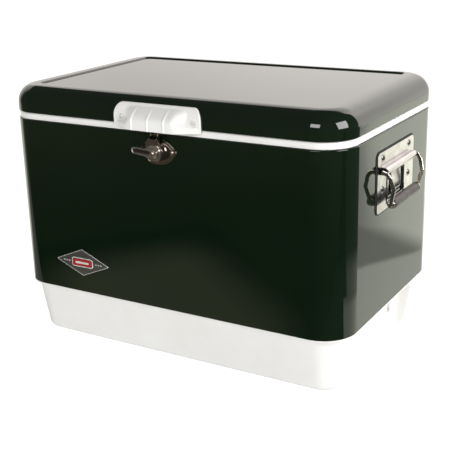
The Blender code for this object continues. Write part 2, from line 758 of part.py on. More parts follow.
def drain():
    """A tube through the end wall, with its nut inside and a hinged cap in the recess."""
    mouth = frame_empty("drain_frame", (RECESS_X, DRAIN_Y, DRAIN_Z), RIGHT)
    liner_x = HALF_X - CAVITY_FLOOR_INSET
    inner_end = liner_x - RECESS_X - 0.0075
    spout = [
        (0.0072, 0.0062),
        (0.0088, 0.0062),
        (0.0088, 0.0040),
        (0.0150, 0.0040),
        (0.0150, 0.0018),
        (0.0088, 0.0018),
        (0.0088, inner_end),
        (0.0072, inner_end),
        (0.0072, 0.0062),
    ]
    tube = place("drain_spout", turned_mesh("drain_spout", spout, 20), WHITE, mouth)
    lug_x, lug_y, lug_out = 0.0040, -0.0165, 0.0064
    for number, x in enumerate((-lug_x, lug_x)):
        name = f"drain_lug_{number}"
        low = (x - 0.0010, lug_y - 0.0020, 0.0020)
        lug = box_mesh(name, low, (x + 0.0010, -0.0130, lug_out + 0.0020))
        boolean(tube, cutter(name, lug, mouth), "UNION")
    pin_bore = cylinder_mesh("cap_pin_bore", 0.0011, -0.012, 0.012)
    boolean(tube, cutter("cap_pin_bore", pin_bore, mouth, (0, lug_y, lug_out), AXIS_ALONG))

    gasket = [(0.0091, 0.0015), (0.0140, 0.0015), (0.0140, GAP), (0.0091, GAP), (0.0091, 0.0015)]
    place("drain_gasket", turned_mesh("drain_gasket", gasket, 20), RUBBER, mouth)
    rings = [circle((0, 0), 0.0120, 6), circle((0, 0), 0.0091, 20)]
    nut = outline_mesh("drain_nut", rings, inner_end + 0.0020, inner_end + 0.0070)
    place("drain_nut", nut, WHITE, mouth)
    bore = cylinder_mesh("drain_bore", 0.0091, inner_end - 0.004, 0.0050, 20)
    cutter("drain_bore", bore, mouth, group=BODY_BORES)
    foam_bore = cylinder_mesh("drain_foam_bore", 0.0100, inner_end - 0.004, 0.0050, 20)
    cutter("drain_foam_bore", foam_bore, mouth, group=BODY_POCKETS)

    swing = frame_empty("drain_cap_axis", (0, lug_y, lug_out), NO_TURN, mouth)
    cap_profile = [
        (0, 0.0112),
        (0.0110, 0.0112),
        (0.0122, 0.0100),
        (0.0122, 0.0044),
        (0.0097, 0.0044),
        (0.0097, 0.0066),
        (0, 0.0066),
    ]
    cap_mesh = turned_mesh("drain_cap", cap_profile, 20)
    cap = place("drain_cap", cap_mesh, WHITE, swing, (0, -lug_y, -lug_out))
    tongue = box_mesh("cap_tongue", (-0.0026, -0.0019, -0.0020), (0.0026, 0.0060, 0.0020))
    boolean(cap, cutter("cap_tongue", tongue, swing), "UNION")
    boolean(cap, bpy.data.objects["cap_pin_bore"])
    pin = cylinder_mesh("drain_cap_pin", 0.0008, -0.0056, 0.0056)
    place("drain_cap_pin", pin, CHROME, mouth, (0, lug_y, lug_out), AXIS_ALONG)


# ---------------------------------------------------------------- badge

def badge():
    """A diamond plate with a plain raised centre."""
    spot = frame_empty("badge_frame", (BADGE_AT[0], -HALF_Y, BADGE_AT[1]), FRONT)
    diamond = [(-0.051, 0), (0, -0.022), (0.051, 0), (0, 0.022)]
    place("badge_plate", outline_mesh("badge_plate", [diamond], GAP, 0.0015), BADGE_METAL, spot)
    centre = rounded_rectangle((-0.0165, -0.0055), (0.0165, 0.0055), 0.0050, 4)
    place("badge_centre", outline_mesh("badge_centre", [centre], 0.0018, 0.0030), BADGE_ENAMEL, spot)


# ---------------------------------------------------------------- assembly

def build():
    base_tub()
    outer_case()
    inner_liner()
    body_foam()
    lid_shell()
    lid_liner()
    lid_foam()
    front = frame_empty("front_face", (0.0, -HALF_Y, 0.0), FRONT)
    lid_handle(front)
    latch_strike(front)
    latch()
    end_handle("right", HALF_X, RIGHT)
    end_handle("left", -HALF_X, LEFT)
    hinge("right", HINGE_X)
    hinge("left", -HINGE_X)
    drain()
    badge()
    add_booleans()


build()
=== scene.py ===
"""Looks of the steel-belted cooler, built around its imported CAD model.

Metres. The front is -Y, the right end is +X, and the ground is z = 0. Every piece is
drawn at rest in the model's own frame, with its object at the origin.
"""

import math

import bmesh
import bpy
from mathutils import Euler, Matrix, Vector


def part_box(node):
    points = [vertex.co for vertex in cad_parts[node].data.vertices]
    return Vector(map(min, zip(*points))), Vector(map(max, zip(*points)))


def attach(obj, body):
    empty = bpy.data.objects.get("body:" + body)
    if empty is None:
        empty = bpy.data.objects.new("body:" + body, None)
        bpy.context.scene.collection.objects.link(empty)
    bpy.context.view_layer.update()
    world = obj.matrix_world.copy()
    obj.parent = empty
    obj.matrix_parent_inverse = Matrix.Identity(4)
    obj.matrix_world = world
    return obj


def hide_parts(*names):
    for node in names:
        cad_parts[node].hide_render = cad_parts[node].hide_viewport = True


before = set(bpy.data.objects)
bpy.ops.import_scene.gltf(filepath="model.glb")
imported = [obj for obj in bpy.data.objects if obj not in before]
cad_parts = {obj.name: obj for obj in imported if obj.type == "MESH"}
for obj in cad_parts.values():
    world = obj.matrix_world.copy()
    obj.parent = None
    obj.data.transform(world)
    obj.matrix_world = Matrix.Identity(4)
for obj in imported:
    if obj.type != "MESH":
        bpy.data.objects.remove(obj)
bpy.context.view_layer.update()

# ---------------------------------------------------------------- dimensions

CASE_LOW, CASE_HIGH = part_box("outer_case")
HALF_X, HALF_Y = CASE_HIGH.x, CASE_HIGH.y
CASE_BOTTOM, CASE_TOP = CASE_LOW.z, CASE_HIGH.z
BASE_TOP = 0.091
SPIGOT_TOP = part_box("base_tub")[1].z
COLLAR_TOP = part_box("inner_liner")[1].z
LID_BOTTOM, LID_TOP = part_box("lid_shell")[0].z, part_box("lid_shell")[1].z
CORNER = 0.051
LID_EDGE = 0.029
PANEL_DROP = 0.0020
PANEL_INSET = 0.035
PANEL_END = 0.006
COLLAR_INSET = 0.0016
CAVITY_TOP_INSET = 0.030
CAVITY_FLOOR_INSET = 0.041
CAVITY_FLOOR = 0.042
PLASTIC = 0.0028
SHEET = 0.0008
GAP = 0.0003
WELD = 1e-6
LEAST_CORNER = 0.006

BASE_STEP = 0.0085
BASE_TAPER = math.tan(math.radians(8.4))
BASE_EDGE = 0.014
DRAIN_Y = 0.068
DRAIN_Z = 0.060
RECESS_HALF = 0.050
RECESS_TOP = 0.080
RECESS_X = 0.2545
RECESS_EDGE = 0.0045
RECESS_STATION = 0.00045
LIP_FOOT = 0.0842
DRAIN_HOLE = 0.0091

HANDLE_Z = 0.308
LATCH_Z = 0.336
HINGE_Z = 0.3673
HINGE_X = 0.165
HINGE_OUT = 0.0044
BADGE_X, BADGE_Z = -0.154, 0.141

CORNER_STEPS = 20
QUARTER = math.pi / 2

# Frames of the upright faces: x runs along the face, y up and z outwards
FACES = {
    "front": ((0.0, -HALF_Y), 0),
    "right": ((HALF_X, 0.0), 90),
    "back": ((0.0, HALF_Y), 180),
    "left": ((-HALF_X, 0.0), 270),
}


def on_face(side, along=0.0, up=0.0, out=0.0):
    """The matrix that carries a face's frame, shifted by along, up and out, to the world."""
    (x, y), turn = FACES[side]
    stand = Euler((QUARTER, 0.0, math.radians(turn))).to_matrix().to_4x4()
    return moved(x, y, 0.0) @ stand @ moved(along, up, out)


def turned(angle, axis):
    return Matrix.Rotation(math.radians(angle), 4, axis)


def moved(x, y, z):
    return Matrix.Translation((x, y, z))


# ---------------------------------------------------------------- making pieces

def smooth_step(value):
    value = min(max(value, 0.0), 1.0)
    return value * value * (3 - 2 * value)


def mesh_of(bm, name):
    """The bmesh as a new mesh; the bmesh is used up."""
    mesh = bpy.data.meshes.new(name)
    bm.to_mesh(mesh)
    bm.free()
    return mesh


def linked(name, data):
    """A new object in the scene."""
    obj = bpy.data.objects.new(name, data)
    bpy.context.scene.collection.objects.link(obj)
    return obj


def cleaned(bm):
    """The bmesh, welded and with its faces turned outwards."""
    bmesh.ops.remove_doubles(bm, verts=bm.verts, dist=WELD)
    bmesh.ops.recalc_face_normals(bm, faces=bm.faces)
    return bm


def piece(name, bm, look, body, slot, *replaced, at=None, sharp=40):
    """Makes the bmesh a piece that rides on a body; sharp is the angle of a hard edge."""
    mesh = mesh_of(cleaned(bm), name)
    if at is not None:
        mesh.transform(at)
    mesh.materials.append(look)
    mesh.shade_smooth()
    mesh.set_sharp_from_angle(angle=math.radians(sharp))
    obj = linked(name, mesh)
    weighted = obj.modifiers.new("flat_faces", "WEIGHTED_NORMAL")
    weighted.keep_sharp = True
    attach(obj, body)
    if replaced:
        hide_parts(*replaced)


def joined(*parts):
    """One bmesh of parts, each a bmesh or a (bmesh, matrix) pair; they are used up."""
    whole = bmesh.new()
    for part in parts:
        if isinstance(part, tuple):
            part, matrix = part
            bmesh.ops.transform(part, matrix=matrix, verts=part.verts)
        mesh = mesh_of(part, "part")
        whole.from_mesh(mesh)
        bpy.data.meshes.remove(mesh)
    return whole


def bmesh_of(obj):
    """The object's mesh with its modifiers or curve worked out; the object is removed."""
    bpy.context.view_layer.update()
    graph = bpy.context.evaluated_depsgraph_get()
    mesh = bpy.data.meshes.new_from_object(obj.evaluated_get(graph))
    bpy.data.objects.remove(obj)
    bm = bmesh.new()
    bm.from_mesh(mesh)
    bpy.data.meshes.remove(mesh)
    return cleaned(bm)


def cut(bm, *cutters):
    """bm less the cutter bmeshes, by exact Booleans."""
    obj = linked("cut", mesh_of(bm, "cut"))
    helpers = []
    for tool in cutters:
        bmesh.ops.recalc_face_normals(tool, faces=tool.faces)
        helper = linked("tool", mesh_of(tool, "tool"))
        helpers.append(helper)
        modifier = obj.modifiers.new("cut", "BOOLEAN")
        modifier.operation = "DIFFERENCE"
        modifier.object = helper
    result = bmesh_of(obj)
    for helper in helpers:
        bpy.data.objects.remove(helper)
    return result


def rounded(points, closed=False, steps=6):
    """A polyline whose (x, y, radius) points become arcs; a point (x, y) stays sharp."""
    result = []
    count = len(points)
    for i, (x, y, *more) in enumerate(points):
        ends = not closed and i in (0, count - 1)
        if not more or ends:
            result.append((x, y))
            continue
        here = Vector((x, y))
        before = Vector(points[i - 1][:2]) - here
        after = Vector(points[(i + 1) % count][:2]) - here
        half = before.angle(after) / 2
        room = [
            side.length * (0.499 if len(neighbour) > 2 else 0.999)
            for side, neighbour in ((before, points[i - 1]), (after, points[(i + 1) % count]))
        ]
        reach = min(more[0] / math.tan(half), *room)
        fit = reach * math.tan(half)
        middle = (before.normalized() + after.normalized()).normalized()
        centre = here + middle * fit / math.sin(half)
        start = here + before.normalized() * reach - centre
        end = here + after.normalized() * reach - centre
        sweep = start.angle(end)
        for k in range(steps + 1):
            t = k / steps
            arm = start * math.sin((1 - t) * sweep) + end * math.sin(t * sweep)
            result.append(tuple(centre + arm / math.sin(sweep)))
    return result


def arc(centre, radius, start, end, steps):
    angles = [math.radians(start + (end - start) * i / steps) for i in range(steps + 1)]
    return [(centre[0] + radius * math.cos(a), centre[1] + radius * math.sin(a)) for a in angles]


def circle(centre, radius, steps=48):
    return arc(centre, radius, 0, 360, steps)[:-1]


def rectangle(low, high, radius, steps=8):
    """A closed rounded rectangle."""
    (x0, y0), (x1, y1) = low, high
    corners = [(x0, y0, radius), (x1, y0, radius), (x1, y1, radius), (x0, y1, radius)]
    return rounded(corners, True, steps)


def lathe(profile, steps):
    """A profile of (radius, height) points turned about z."""
    mesh = bpy.data.meshes.new("lathe")
    points = [(radius, 0.0, height) for radius, height in profile]
    mesh.from_pydata(points, [(i, i + 1) for i in range(len(points) - 1)], [])
    obj = linked("lathe", mesh)
    screw = obj.modifiers.new("turn", "SCREW")
    screw.steps = screw.render_steps = steps
    screw.use_merge_vertices = True
    screw.merge_threshold = WELD
    return bmesh_of(obj)


def slab(outlines, low, high, edge=0.0005, edge_steps=2):
    """Flat closed outlines, the inner ones holes, as a solid with rounded edges."""
    curve = bpy.data.curves.new("slab", "CURVE")
    curve.dimensions = "2D"
    curve.fill_mode = "BOTH"
    curve.extrude = (high - low) / 2 - edge
    curve.bevel_depth = edge
    curve.bevel_resolution = edge_steps
    curve.offset = -edge
    for outline in outlines:
        spline = curve.splines.new("POLY")
        spline.points.add(len(outline) - 1)
        for point, (x, y) in zip(spline.points, outline):
            point.co = (x, y, 0.0, 1.0)
        spline.use_cyclic_u = True
    bm = bmesh_of(linked("slab", curve))
    bmesh.ops.translate(bm, vec=(0, 0, (low + high) / 2), verts=bm.verts)
    return bm


def block(low, high, radius, *extent):
    """A slab with the plan of a rounded rectangle."""
    return slab([rectangle(low, high, radius)], *extent)


def mirrored(profile):
    """A half profile that ends at height 0, carried on by its mirror image below."""
    return profile + [(radius, -height) for radius, height in reversed(profile[:-1])]


def skin(rows, closed=False):
    """Quads between rings of points; the last meets the first, or else both are capped."""
    bm = bmesh.new()
    grid = [[bm.verts.new(point) for point in row] for row in rows]
    following = grid[1:] + grid[:1] if closed else grid[1:]
    for low, high in zip(grid, following):
        for i in range(len(low)):
            bm.faces.new((low[i - 1], low[i], high[i], high[i - 1]))
    if not closed:
        bm.faces.new(grid[0])
        bm.faces.new(grid[-1])
    return bm


def sheet_solid(front, back):
    """Two equal grids of points, front and back, closed round their shared border."""
    bm = bmesh.new()
    rows, columns = len(front), len(front[0])
    grids = [[[bm.verts.new(point) for point in row] for row in side] for side in (front, back)]
    for grid in grids:
        for low, high in zip(grid, grid[1:]):
            for i in range(1, columns):
                bm.faces.new((low[i - 1], low[i], high[i], high[i - 1]))
    border = [(0, i) for i in range(columns)]
    border += [(row, columns - 1) for row in range(1, rows)]
    border += [(rows - 1, i) for i in range(columns - 2, -1, -1)]
    border += [(row, 0) for row in range(rows - 2, 0, -1)]
    near, far = grids
    for (r0, c0), (r1, c1) in zip(border, border[1:] + border[:1]):
        bm.faces.new((near[r0][c0], near[r1][c1], far[r1][c1], far[r0][c0]))
    return bm


def tube(path, section):
    """A section carried along a path: each path entry is (point, side, up, scale)."""
    rows = []
    for point, side, up, scale in path:
        rows.append([point + side * (x * scale) + up * (y * scale) for x, y in section])
    return skin(rows)


def strip(line, section, start=0.0, lean=0.0):
    """A section carried along a line of (up, out) points that leans sideways from start."""
    path = []
    for i, (up, out) in enumerate(line):
        run = Vector(line[min(i + 1, len(line) - 1)]) - Vector(line[max(i - 1, 0)])
        run.normalize()
        point = Vector((start + lean * up, up, out))
        path.append((point, Vector((1, 0, 0)), Vector((0.0, run.y, -run.x)), 1.0))
    return tube(path, section)


def edge_drop(reach, radius):
    """How far a rounded edge lies under its face, at reach inside the rim."""
    left = radius - min(max(reach, 0.0), radius)
    return radius - math.sqrt(radius ** 2 - left ** 2)


# ---------------------------------------------------------------- rounded plan

SIDE_STEPS = 8


def plan_ring(inset, height, end_inset=0.0, right_side=None):
    """A ring of points round the body's rounded plan, drawn in by inset."""
    x = HALF_X - inset - end_inset
    y = HALF_Y - inset
    radius = max(CORNER - inset - end_inset, LEAST_CORNER)
    signs = [(1, 1), (-1, 1), (-1, -1), (1, -1)]
    corners = []
    for quarter, (sx, sy) in enumerate(signs):
        centre = (sx * (x - radius), sy * (y - radius))
        corners.append(arc(centre, radius, 90 * quarter, 90 * quarter + 90, CORNER_STEPS))
    ring = []
    for quarter, corner in enumerate(corners):
        ring += corner
        (x0, y0), (x1, y1) = corner[-1], corners[(quarter + 1) % 4][0]
        stations = [i / SIDE_STEPS for i in range(1, SIDE_STEPS)]
        if quarter == 3 and right_side:
            stations = right_side
        ring += [(x0 + (x1 - x0) * t, y0 + (y1 - y0) * t) for t in stations]
    return [Vector((px, py, height)) for px, py in ring]


def swept(profile, closed=False, end_inset=None, right_side=None, sink=None):
    """A profile of (inset, height) points carried round the plan; sink moves single points."""
    rows = []
    for number, (inset, height) in enumerate(profile):
        further = end_inset(inset) if end_inset else 0.0
        ring = plan_ring(inset, height, further, right_side)
        rows.append([sink(point, number) for point in ring] if sink else ring)
    return skin(rows, closed)


# ---------------------------------------------------------------- materials

def set_range(node, *numbers):
    """Makes a Map Range node carry low..high to bottom..top."""
    for key, number in zip(("From Min", "From Max", "To Min", "To Max"), numbers):
        node.inputs[key].default_value = number


class Nodes:
    """A short way to write a material's nodes."""

    def __init__(self, name):
        self.made = bpy.data.materials.new(name)
        self.made.use_nodes = True
        self.tree = self.made.node_tree
        self.shader = self.tree.nodes["Principled BSDF"]
        self.place = self.add("ShaderNodeTexCoord").outputs["Object"]

    def add(self, kind, **settings):
        node = self.tree.nodes.new(kind)
        for key, value in settings.items():
            setattr(node, key, value)
        return node

    def link(self, source, target):
        self.tree.links.new(source, target)

    def noise(self, scale, detail=3.0, roughness=0.5, stretch=None):
        """Noise of about 1 / scale metres, drawn out by stretch."""
        source = self.place
        if stretch:
            mapping = self.add("ShaderNodeMapping")
            mapping.inputs["Scale"].default_value = stretch
            self.link(source, mapping.inputs["Vector"])
            source = mapping.outputs["Vector"]
        node = self.add("ShaderNodeTexNoise")
        node.inputs["Scale"].default_value = scale
        node.inputs["Detail"].default_value = detail
        node.inputs["Roughness"].default_value = roughness
        self.link(source, node.inputs["Vector"])
        return node.outputs["Fac"]

    def between(self, value, low, high, start=0.3, end=0.7):
        """Maps value from start..end to low..high."""
        node = self.add("ShaderNodeMapRange")
        set_range(node, start, end, low, high)
        self.link(value, node.inputs["Value"])
        return node.outputs["Result"]

    def blend(self, amount, first, second):
        """A colour from first to second by amount; each is a colour or a socket."""
        node = self.add("ShaderNodeMix", data_type="RGBA")
        self.link(amount, node.inputs["Factor"])
        for key, colour in (("A", first), ("B", second)):
            socket = [s for s in node.inputs if s.name == key and s.type == "RGBA"][0]
            if isinstance(colour, tuple):
                socket.default_value = (*colour, 1.0)
            else:
                self.link(colour, socket)
        return [s for s in node.outputs if s.type == "RGBA"][0]

    def bump(self, height, depth, under=None):
        """Surface relief of depth metres, laid over another relief."""
        node = self.add("ShaderNodeBump")
        node.inputs["Strength"].default_value = 1.0
        node.inputs["Distance"].default_value = depth
        self.link(height, node.inputs["Height"])
        if under:
            self.link(under, node.inputs["Normal"])
        return node.outputs["Normal"]

    def finish(self, colour, rough, normal=None, **fixed):
        if isinstance(colour, tuple):
            self.shader.inputs["Base Color"].default_value = (*colour, 1.0)
        else:
            self.link(colour, self.shader.inputs["Base Color"])
        if isinstance(rough, float):
            self.shader.inputs["Roughness"].default_value = rough
        else:
            self.link(rough, self.shader.inputs["Roughness"])
        if normal:
            self.link(normal, self.shader.inputs["Normal"])
        for key, value in fixed.items():
            self.shader.inputs[key.replace("_", " ")].default_value = value
        return self.made


def enamel_paint():
    """Dark green baked enamel on sheet steel: glossy, with orange peel and faint smears."""
    n = Nodes("green_enamel")
    patches = n.between(n.noise(9.0, 4.0), 0.0, 1.0)
    colour = n.blend(patches, (0.0030, 0.0082, 0.0034), (0.0036, 0.0094, 0.0040))
    smears = n.noise(26.0, 6.0, 0.62, (1.0, 1.0, 0.35))
    rough = n.between(smears, 0.015, 0.045, 0.35, 0.75)
    waves = n.bump(n.noise(5.5, 1.0), 0.00010)
    peel = n.bump(n.noise(420.0, 2.0), 0.000012, under=waves)
    return n.finish(colour, rough, peel, IOR=1.5)


def moulded_plastic(name, colour, shade, rough_low=0.30, rough_high=0.42):
    """Moulded polypropylene: satin, finely grained, with a breath of unevenness."""
    n = Nodes(name)
    mottle = n.between(n.noise(14.0, 5.0, 0.6), 0.0, 1.0, 0.35, 0.70)
    tint = n.blend(mottle, colour, shade)
    rough = n.between(n.noise(60.0, 4.0), rough_low, rough_high)
    flow = n.bump(n.noise(16.0, 2.0, 0.5, (1.0, 1.0, 0.5)), 0.00008)
    grain = n.bump(n.noise(1500.0, 2.0), 0.000010, under=flow)
    return n.finish(tint, rough, grain, IOR=1.49)


def chromed_steel(name, colour, rough_low, rough_high, brush=None, metal=1.0):
    """Bright plated steel with smudges, fine scratches and faint tool marks."""
    n = Nodes(name)
    film = n.between(n.noise(70.0, 5.0, 0.6), 0.0, 1.0, 0.4, 0.75)
    dull = tuple(channel * 0.80 for channel in colour)
    tint = n.blend(film, colour, dull)
    rough = n.between(n.noise(110.0, 6.0, 0.65), rough_low, rough_high, 0.35, 0.70)
    waves = n.bump(n.noise(90.0, 1.0), 0.00003)
    marks = n.bump(n.noise(900.0, 3.0, 0.6, brush or (1.0, 1.0, 1.0)), 0.000008, under=waves)
    return n.finish(tint, rough, marks, Metallic=metal)


def grip_plastic():
    """Dark brown-grey grip: fine leather-like grain, polished a little by hands."""
    n = Nodes("grip_sleeve")
    wear = n.between(n.noise(45.0, 5.0, 0.6), 0.0, 1.0, 0.35, 0.70)
    colour = n.blend(wear, (0.040, 0.031, 0.028), (0.060, 0.049, 0.045))
    rough = n.between(n.noise(160.0, 4.0), 0.34, 0.50)
    grain = n.bump(n.noise(1100.0, 3.0, 0.6), 0.00003)
    return n.finish(colour, rough, grain, IOR=1.5)


def rubber():
    n = Nodes("seal_rubber")
    dust = n.between(n.noise(120.0, 5.0), 0.0, 1.0, 0.45, 0.75)
    colour = n.blend(dust, (0.018, 0.018, 0.018), (0.035, 0.034, 0.032))
    rough = n.between(n.noise(300.0, 3.0), 0.55, 0.75)
    return n.finish(colour, rough, n.bump(n.noise(900.0, 3.0), 0.00002))


def foam():
    """Rigid insulating foam, which only shows if the shells come off."""
    n = Nodes("rigid_foam")
    cells = n.add("ShaderNodeTexVoronoi")
    cells.inputs["Scale"].default_value = 700.0
    n.link(n.place, cells.inputs["Vector"])
    depth = cells.outputs["Distance"]
    colour = n.blend(n.between(depth, 0.0, 1.0, 0.0, 0.6), (0.70, 0.60, 0.33), (0.82, 0.74, 0.48))
    return n.finish(colour, n.between(depth, 0.8, 0.95, 0.0, 0.6), n.bump(depth, 0.0003))


def badge_metal():
    """Dark satin metal, brushed along the plate."""
    n = Nodes("badge_metal")
    lines = n.noise(240.0, 4.0, 0.6, (0.06, 1.0, 4.0))
    colour = n.blend(n.between(lines, 0.0, 1.0), (0.125, 0.128, 0.120), (0.210, 0.212, 0.200))
    rough = n.between(lines, 0.26, 0.40)
    return n.finish(colour, rough, n.bump(lines, 0.00001), Metallic=0.85)


def enamel(name, colour):
    """Glossy enamel fill with a slight unevenness."""
    n = Nodes(name)
    shade = tuple(channel * 0.8 for channel in colour)
    tint = n.blend(n.between(n.noise(220.0, 3.0), 0.0, 1.0), colour, shade)
    rough = n.between(n.noise(400.0, 3.0), 0.12, 0.24)
    return n.finish(tint, rough, n.bump(n.noise(500.0, 2.0), 0.00001))


PAINT = enamel_paint()
WHITE = moulded_plastic("white_plastic", (0.80, 0.795, 0.77), (0.76, 0.75, 0.72))
CHROME = chromed_steel("chrome_plate", (0.80, 0.74, 0.67), 0.08, 0.16, metal=0.96)
BRIGHT = chromed_steel("bright_plate", (0.50, 0.474, 0.470), 0.12, 0.24, (1.0, 0.2, 1.0))
DARK_CHROME = chromed_steel("dark_chrome", (0.62, 0.54, 0.47), 0.05, 0.11, metal=0.98)
# A darker copy of the chrome plate: painted shade on the latch plate and the strike.
PAINTED_SHADE_CHROME = chromed_steel("painted_shade_chrome", (0.36, 0.31, 0.27), 0.06, 0.12, metal=0.98)
SCREW = chromed_steel("screw_steel", (0.70, 0.67, 0.63), 0.18, 0.32, metal=0.6)
PALE_STEEL = chromed_steel("pale_steel", (0.82, 0.81, 0.78), 0.26, 0.40, metal=0.3)
# A dark copy of the plated steel: painted shade in the latch lever's channel and a painted dark reflection
# on the end handles' screws.
PAINTED_SHADE_STEEL = chromed_steel("painted_shade_steel", (0.16, 0.15, 0.14), 0.22, 0.36)
GRIP = grip_plastic()
RUBBER = rubber()
FOAM = foam()
BADGE = badge_metal()
ENAMEL_RED = enamel("enamel_red", (0.36, 0.020, 0.024))
ENAMEL_PALE = enamel("enamel_pale", (0.62, 0.62, 0.58))


# ---------------------------------------------------------------- body shells

def base_wall_inset(height):
    return BASE_STEP + BASE_TAPER * (BASE_TOP - 0.003 - height)


def heights(start, end, steps):
    return [start + (end - start) * i / steps for i in range(1, steps)]


def sunk(point, behind):
    """A point of the right end's wall, moved in where the drain recess is; behind is its
    distance inside the outer skin."""
    face = RECESS_X - behind
    if point.x <= face or abs(point.y) > HALF_Y - 0.01:
        return point
    reach = behind + RECESS_EDGE / 2
    across = smooth_step((RECESS_HALF + reach - abs(point.y - DRAIN_Y)) / RECESS_EDGE)
    below = smooth_step((RECESS_TOP + reach - point.z) / RECESS_EDGE)
    return Vector((point.x + (face - point.x) * across * below, point.y, point.z))


def right_side_stations():
    """Fractions along the right end, close together at the recess's two sides."""
    run = HALF_Y - CORNER
    places = [-run + 2 * run * i / 18 for i in range(1, 18)]
    for side in (-1, 1):
        middle = DRAIN_Y + side * RECESS_HALF
        places += [middle + offset * RECESS_STATION for offset in range(-12, 13)]
    places = sorted(set(round(p, 6) for p in places if abs(p) < run - 0.0005))
    return [(p + run) / (2 * run) for p in places]


def moulded_base():
    stations = right_side_stations()
    edge_inset = base_wall_inset(BASE_EDGE)
    rows = [RECESS_TOP + offset * RECESS_STATION for offset in range(9, -10, -1)]
    rows += heights(RECESS_TOP - 0.005, BASE_EDGE, 8)
    wall = [(base_wall_inset(z), z) for z in sorted(rows, reverse=True) if z < LIP_FOOT]
    lip = rounded([
        (0.0018, SPIGOT_TOP), (0.0015, BASE_TOP + 0.0004), (0.0002, BASE_TOP, 0.0003),
        (0.0, BASE_TOP - 0.0010, 0.0008), (0.0003, BASE_TOP - 0.0026, 0.0006),
        (BASE_STEP - 0.0002, BASE_TOP - 0.0034, 0.0010), (base_wall_inset(0.083), 0.083),
    ], steps=4)
    foot = [
        (edge_inset + BASE_EDGE * (1 - math.cos(a)), BASE_EDGE * (1 - math.sin(a)))
        for a in (i * QUARTER / 10 for i in range(11))
    ]
    under = rounded([
        (0.0520, 0.0), (0.0555, 0.0, 0.0020), (0.0570, 0.0014, 0.0020), (0.0620, 0.0014),
    ], steps=3)
    outer = lip[:-1] + wall + foot + under
    inner = inner_base_profile()[::-1]

    def sink(point, number):
        return sunk(point, PLASTIC if number < len(inner) else 0.0)

    return swept(inner + outer, right_side=stations, sink=sink)


def inner_base_profile():
    """The tub's hidden inner face, from its rim down to its floor."""
    rows = [RECESS_TOP + PLASTIC + offset * RECESS_STATION for offset in range(8, -10, -1)]
    return [
        (0.0042, SPIGOT_TOP),
        (0.0042, BASE_TOP - 0.0002),
        (BASE_STEP + PLASTIC, BASE_TOP - 0.0004),
        *[(base_wall_inset(z) + PLASTIC, z) for z in rows],
        (base_wall_inset(0.014) + PLASTIC, 0.014),
        (base_wall_inset(0.014) + 0.013, 0.0032),
    ]


def steel_case():
    profile = rounded([
        (0.0140, CASE_TOP - SHEET), (SHEET, CASE_TOP - SHEET, 0.0010), (SHEET, CASE_BOTTOM, 0.0003),
        (0.0, CASE_BOTTOM, 0.0003), (0.0, CASE_TOP, 0.0018), (0.0140, CASE_TOP, 0.0002),
        (0.0140, CASE_TOP - SHEET),
    ], steps=6)
    return swept(profile[:-1], closed=True)


def cavity_tub():
    """The cavity and the white collar that shows between the case and the lid."""
    wall = PLASTIC
    outside = [
        (CAVITY_FLOOR_INSET + 0.006, CAVITY_FLOOR - wall),
        (CAVITY_FLOOR_INSET - wall + 0.001, CAVITY_FLOOR + 0.003),
        (CAVITY_TOP_INSET - wall, CASE_TOP - 0.006),
        (CAVITY_TOP_INSET - wall, CASE_TOP + GAP),
    ]
    shown = rounded([
        (0.0100, CASE_TOP + GAP), (COLLAR_INSET, CASE_TOP + GAP, 0.0012),
        (COLLAR_INSET, COLLAR_TOP, 0.0024), (CAVITY_TOP_INSET - 0.0005, COLLAR_TOP, 0.0040),
        (CAVITY_TOP_INSET + 0.0010, CASE_TOP - 0.020, 0.0100),
        (CAVITY_FLOOR_INSET, CAVITY_FLOOR, 0.0075), (CAVITY_FLOOR_INSET + 0.030, CAVITY_FLOOR),
    ], steps=8)
    return swept(outside + shown)


def panel_end(inset):
    """The panel stands further in at the lid's two ends than at its sides."""
    return PANEL_END * smooth_step((inset - LID_EDGE) / 0.0042)


def lid_pan():
    bottom, top = LID_BOTTOM, LID_TOP
    floor = top - PANEL_DROP
    outer = rounded([
        (0.0046, bottom + 0.0010), (0.0036, bottom, 0.0004), (0.0, bottom, 0.0016),
        (0.0, bottom + 0.0060), (0.0, top, LID_EDGE), (PANEL_INSET - 0.0014, top),
    ], steps=10)
    step = rounded([
        (PANEL_INSET - 0.0014, top), (PANEL_INSET, top, 0.0011), (PANEL_INSET + 0.0009, floor, 0.0011),
        (PANEL_INSET + 0.0050, floor), (PANEL_INSET + 0.0300, floor),
    ], steps=6)
    inside = [
        (PANEL_INSET + 0.0300, floor - SHEET), (PANEL_INSET - SHEET, floor - SHEET),
        (PANEL_INSET - SHEET, top - SHEET), (LID_EDGE, top - SHEET),
        (0.0045, top - 0.0140), (0.0010, top - LID_EDGE), (0.0010, bottom + 0.0030),
        (0.0046, bottom + 0.0010),
    ]
    return swept(inside[:-1] + outer + step[1:], end_inset=panel_end)


def lid_plug():
    """The lid's white inner face, whose plug drops into the cavity."""
    bottom = LID_BOTTOM
    shown = rounded([
        (0.0350, bottom + 0.0026), (0.0049, bottom + 0.0026, 0.0004), (0.0049, bottom + 0.0001, 0.0006),
        (0.0318, bottom + 0.0001, 0.0020), (0.0338, bottom - 0.0120, 0.0050),
        (0.0590, bottom - 0.0120, 0.0030), (0.0615, bottom - 0.0104, 0.0030),
        (0.0900, bottom - 0.0104),
    ], steps=6)
    back = [(0.0900, bottom - 0.0093), (0.0372, bottom - 0.0093), (0.0350, bottom + 0.0026)]
    return swept(back[:-1] + shown)


def bore_at_drain(low, high):
    hole = lathe([(0.0, low), (DRAIN_HOLE, low), (DRAIN_HOLE, high), (0.0, high)], 40)
    at = on_face("right", DRAIN_Y, DRAIN_Z, RECESS_X - HALF_X)
    bmesh.ops.transform(hole, matrix=at, verts=hole.verts)
    return hole


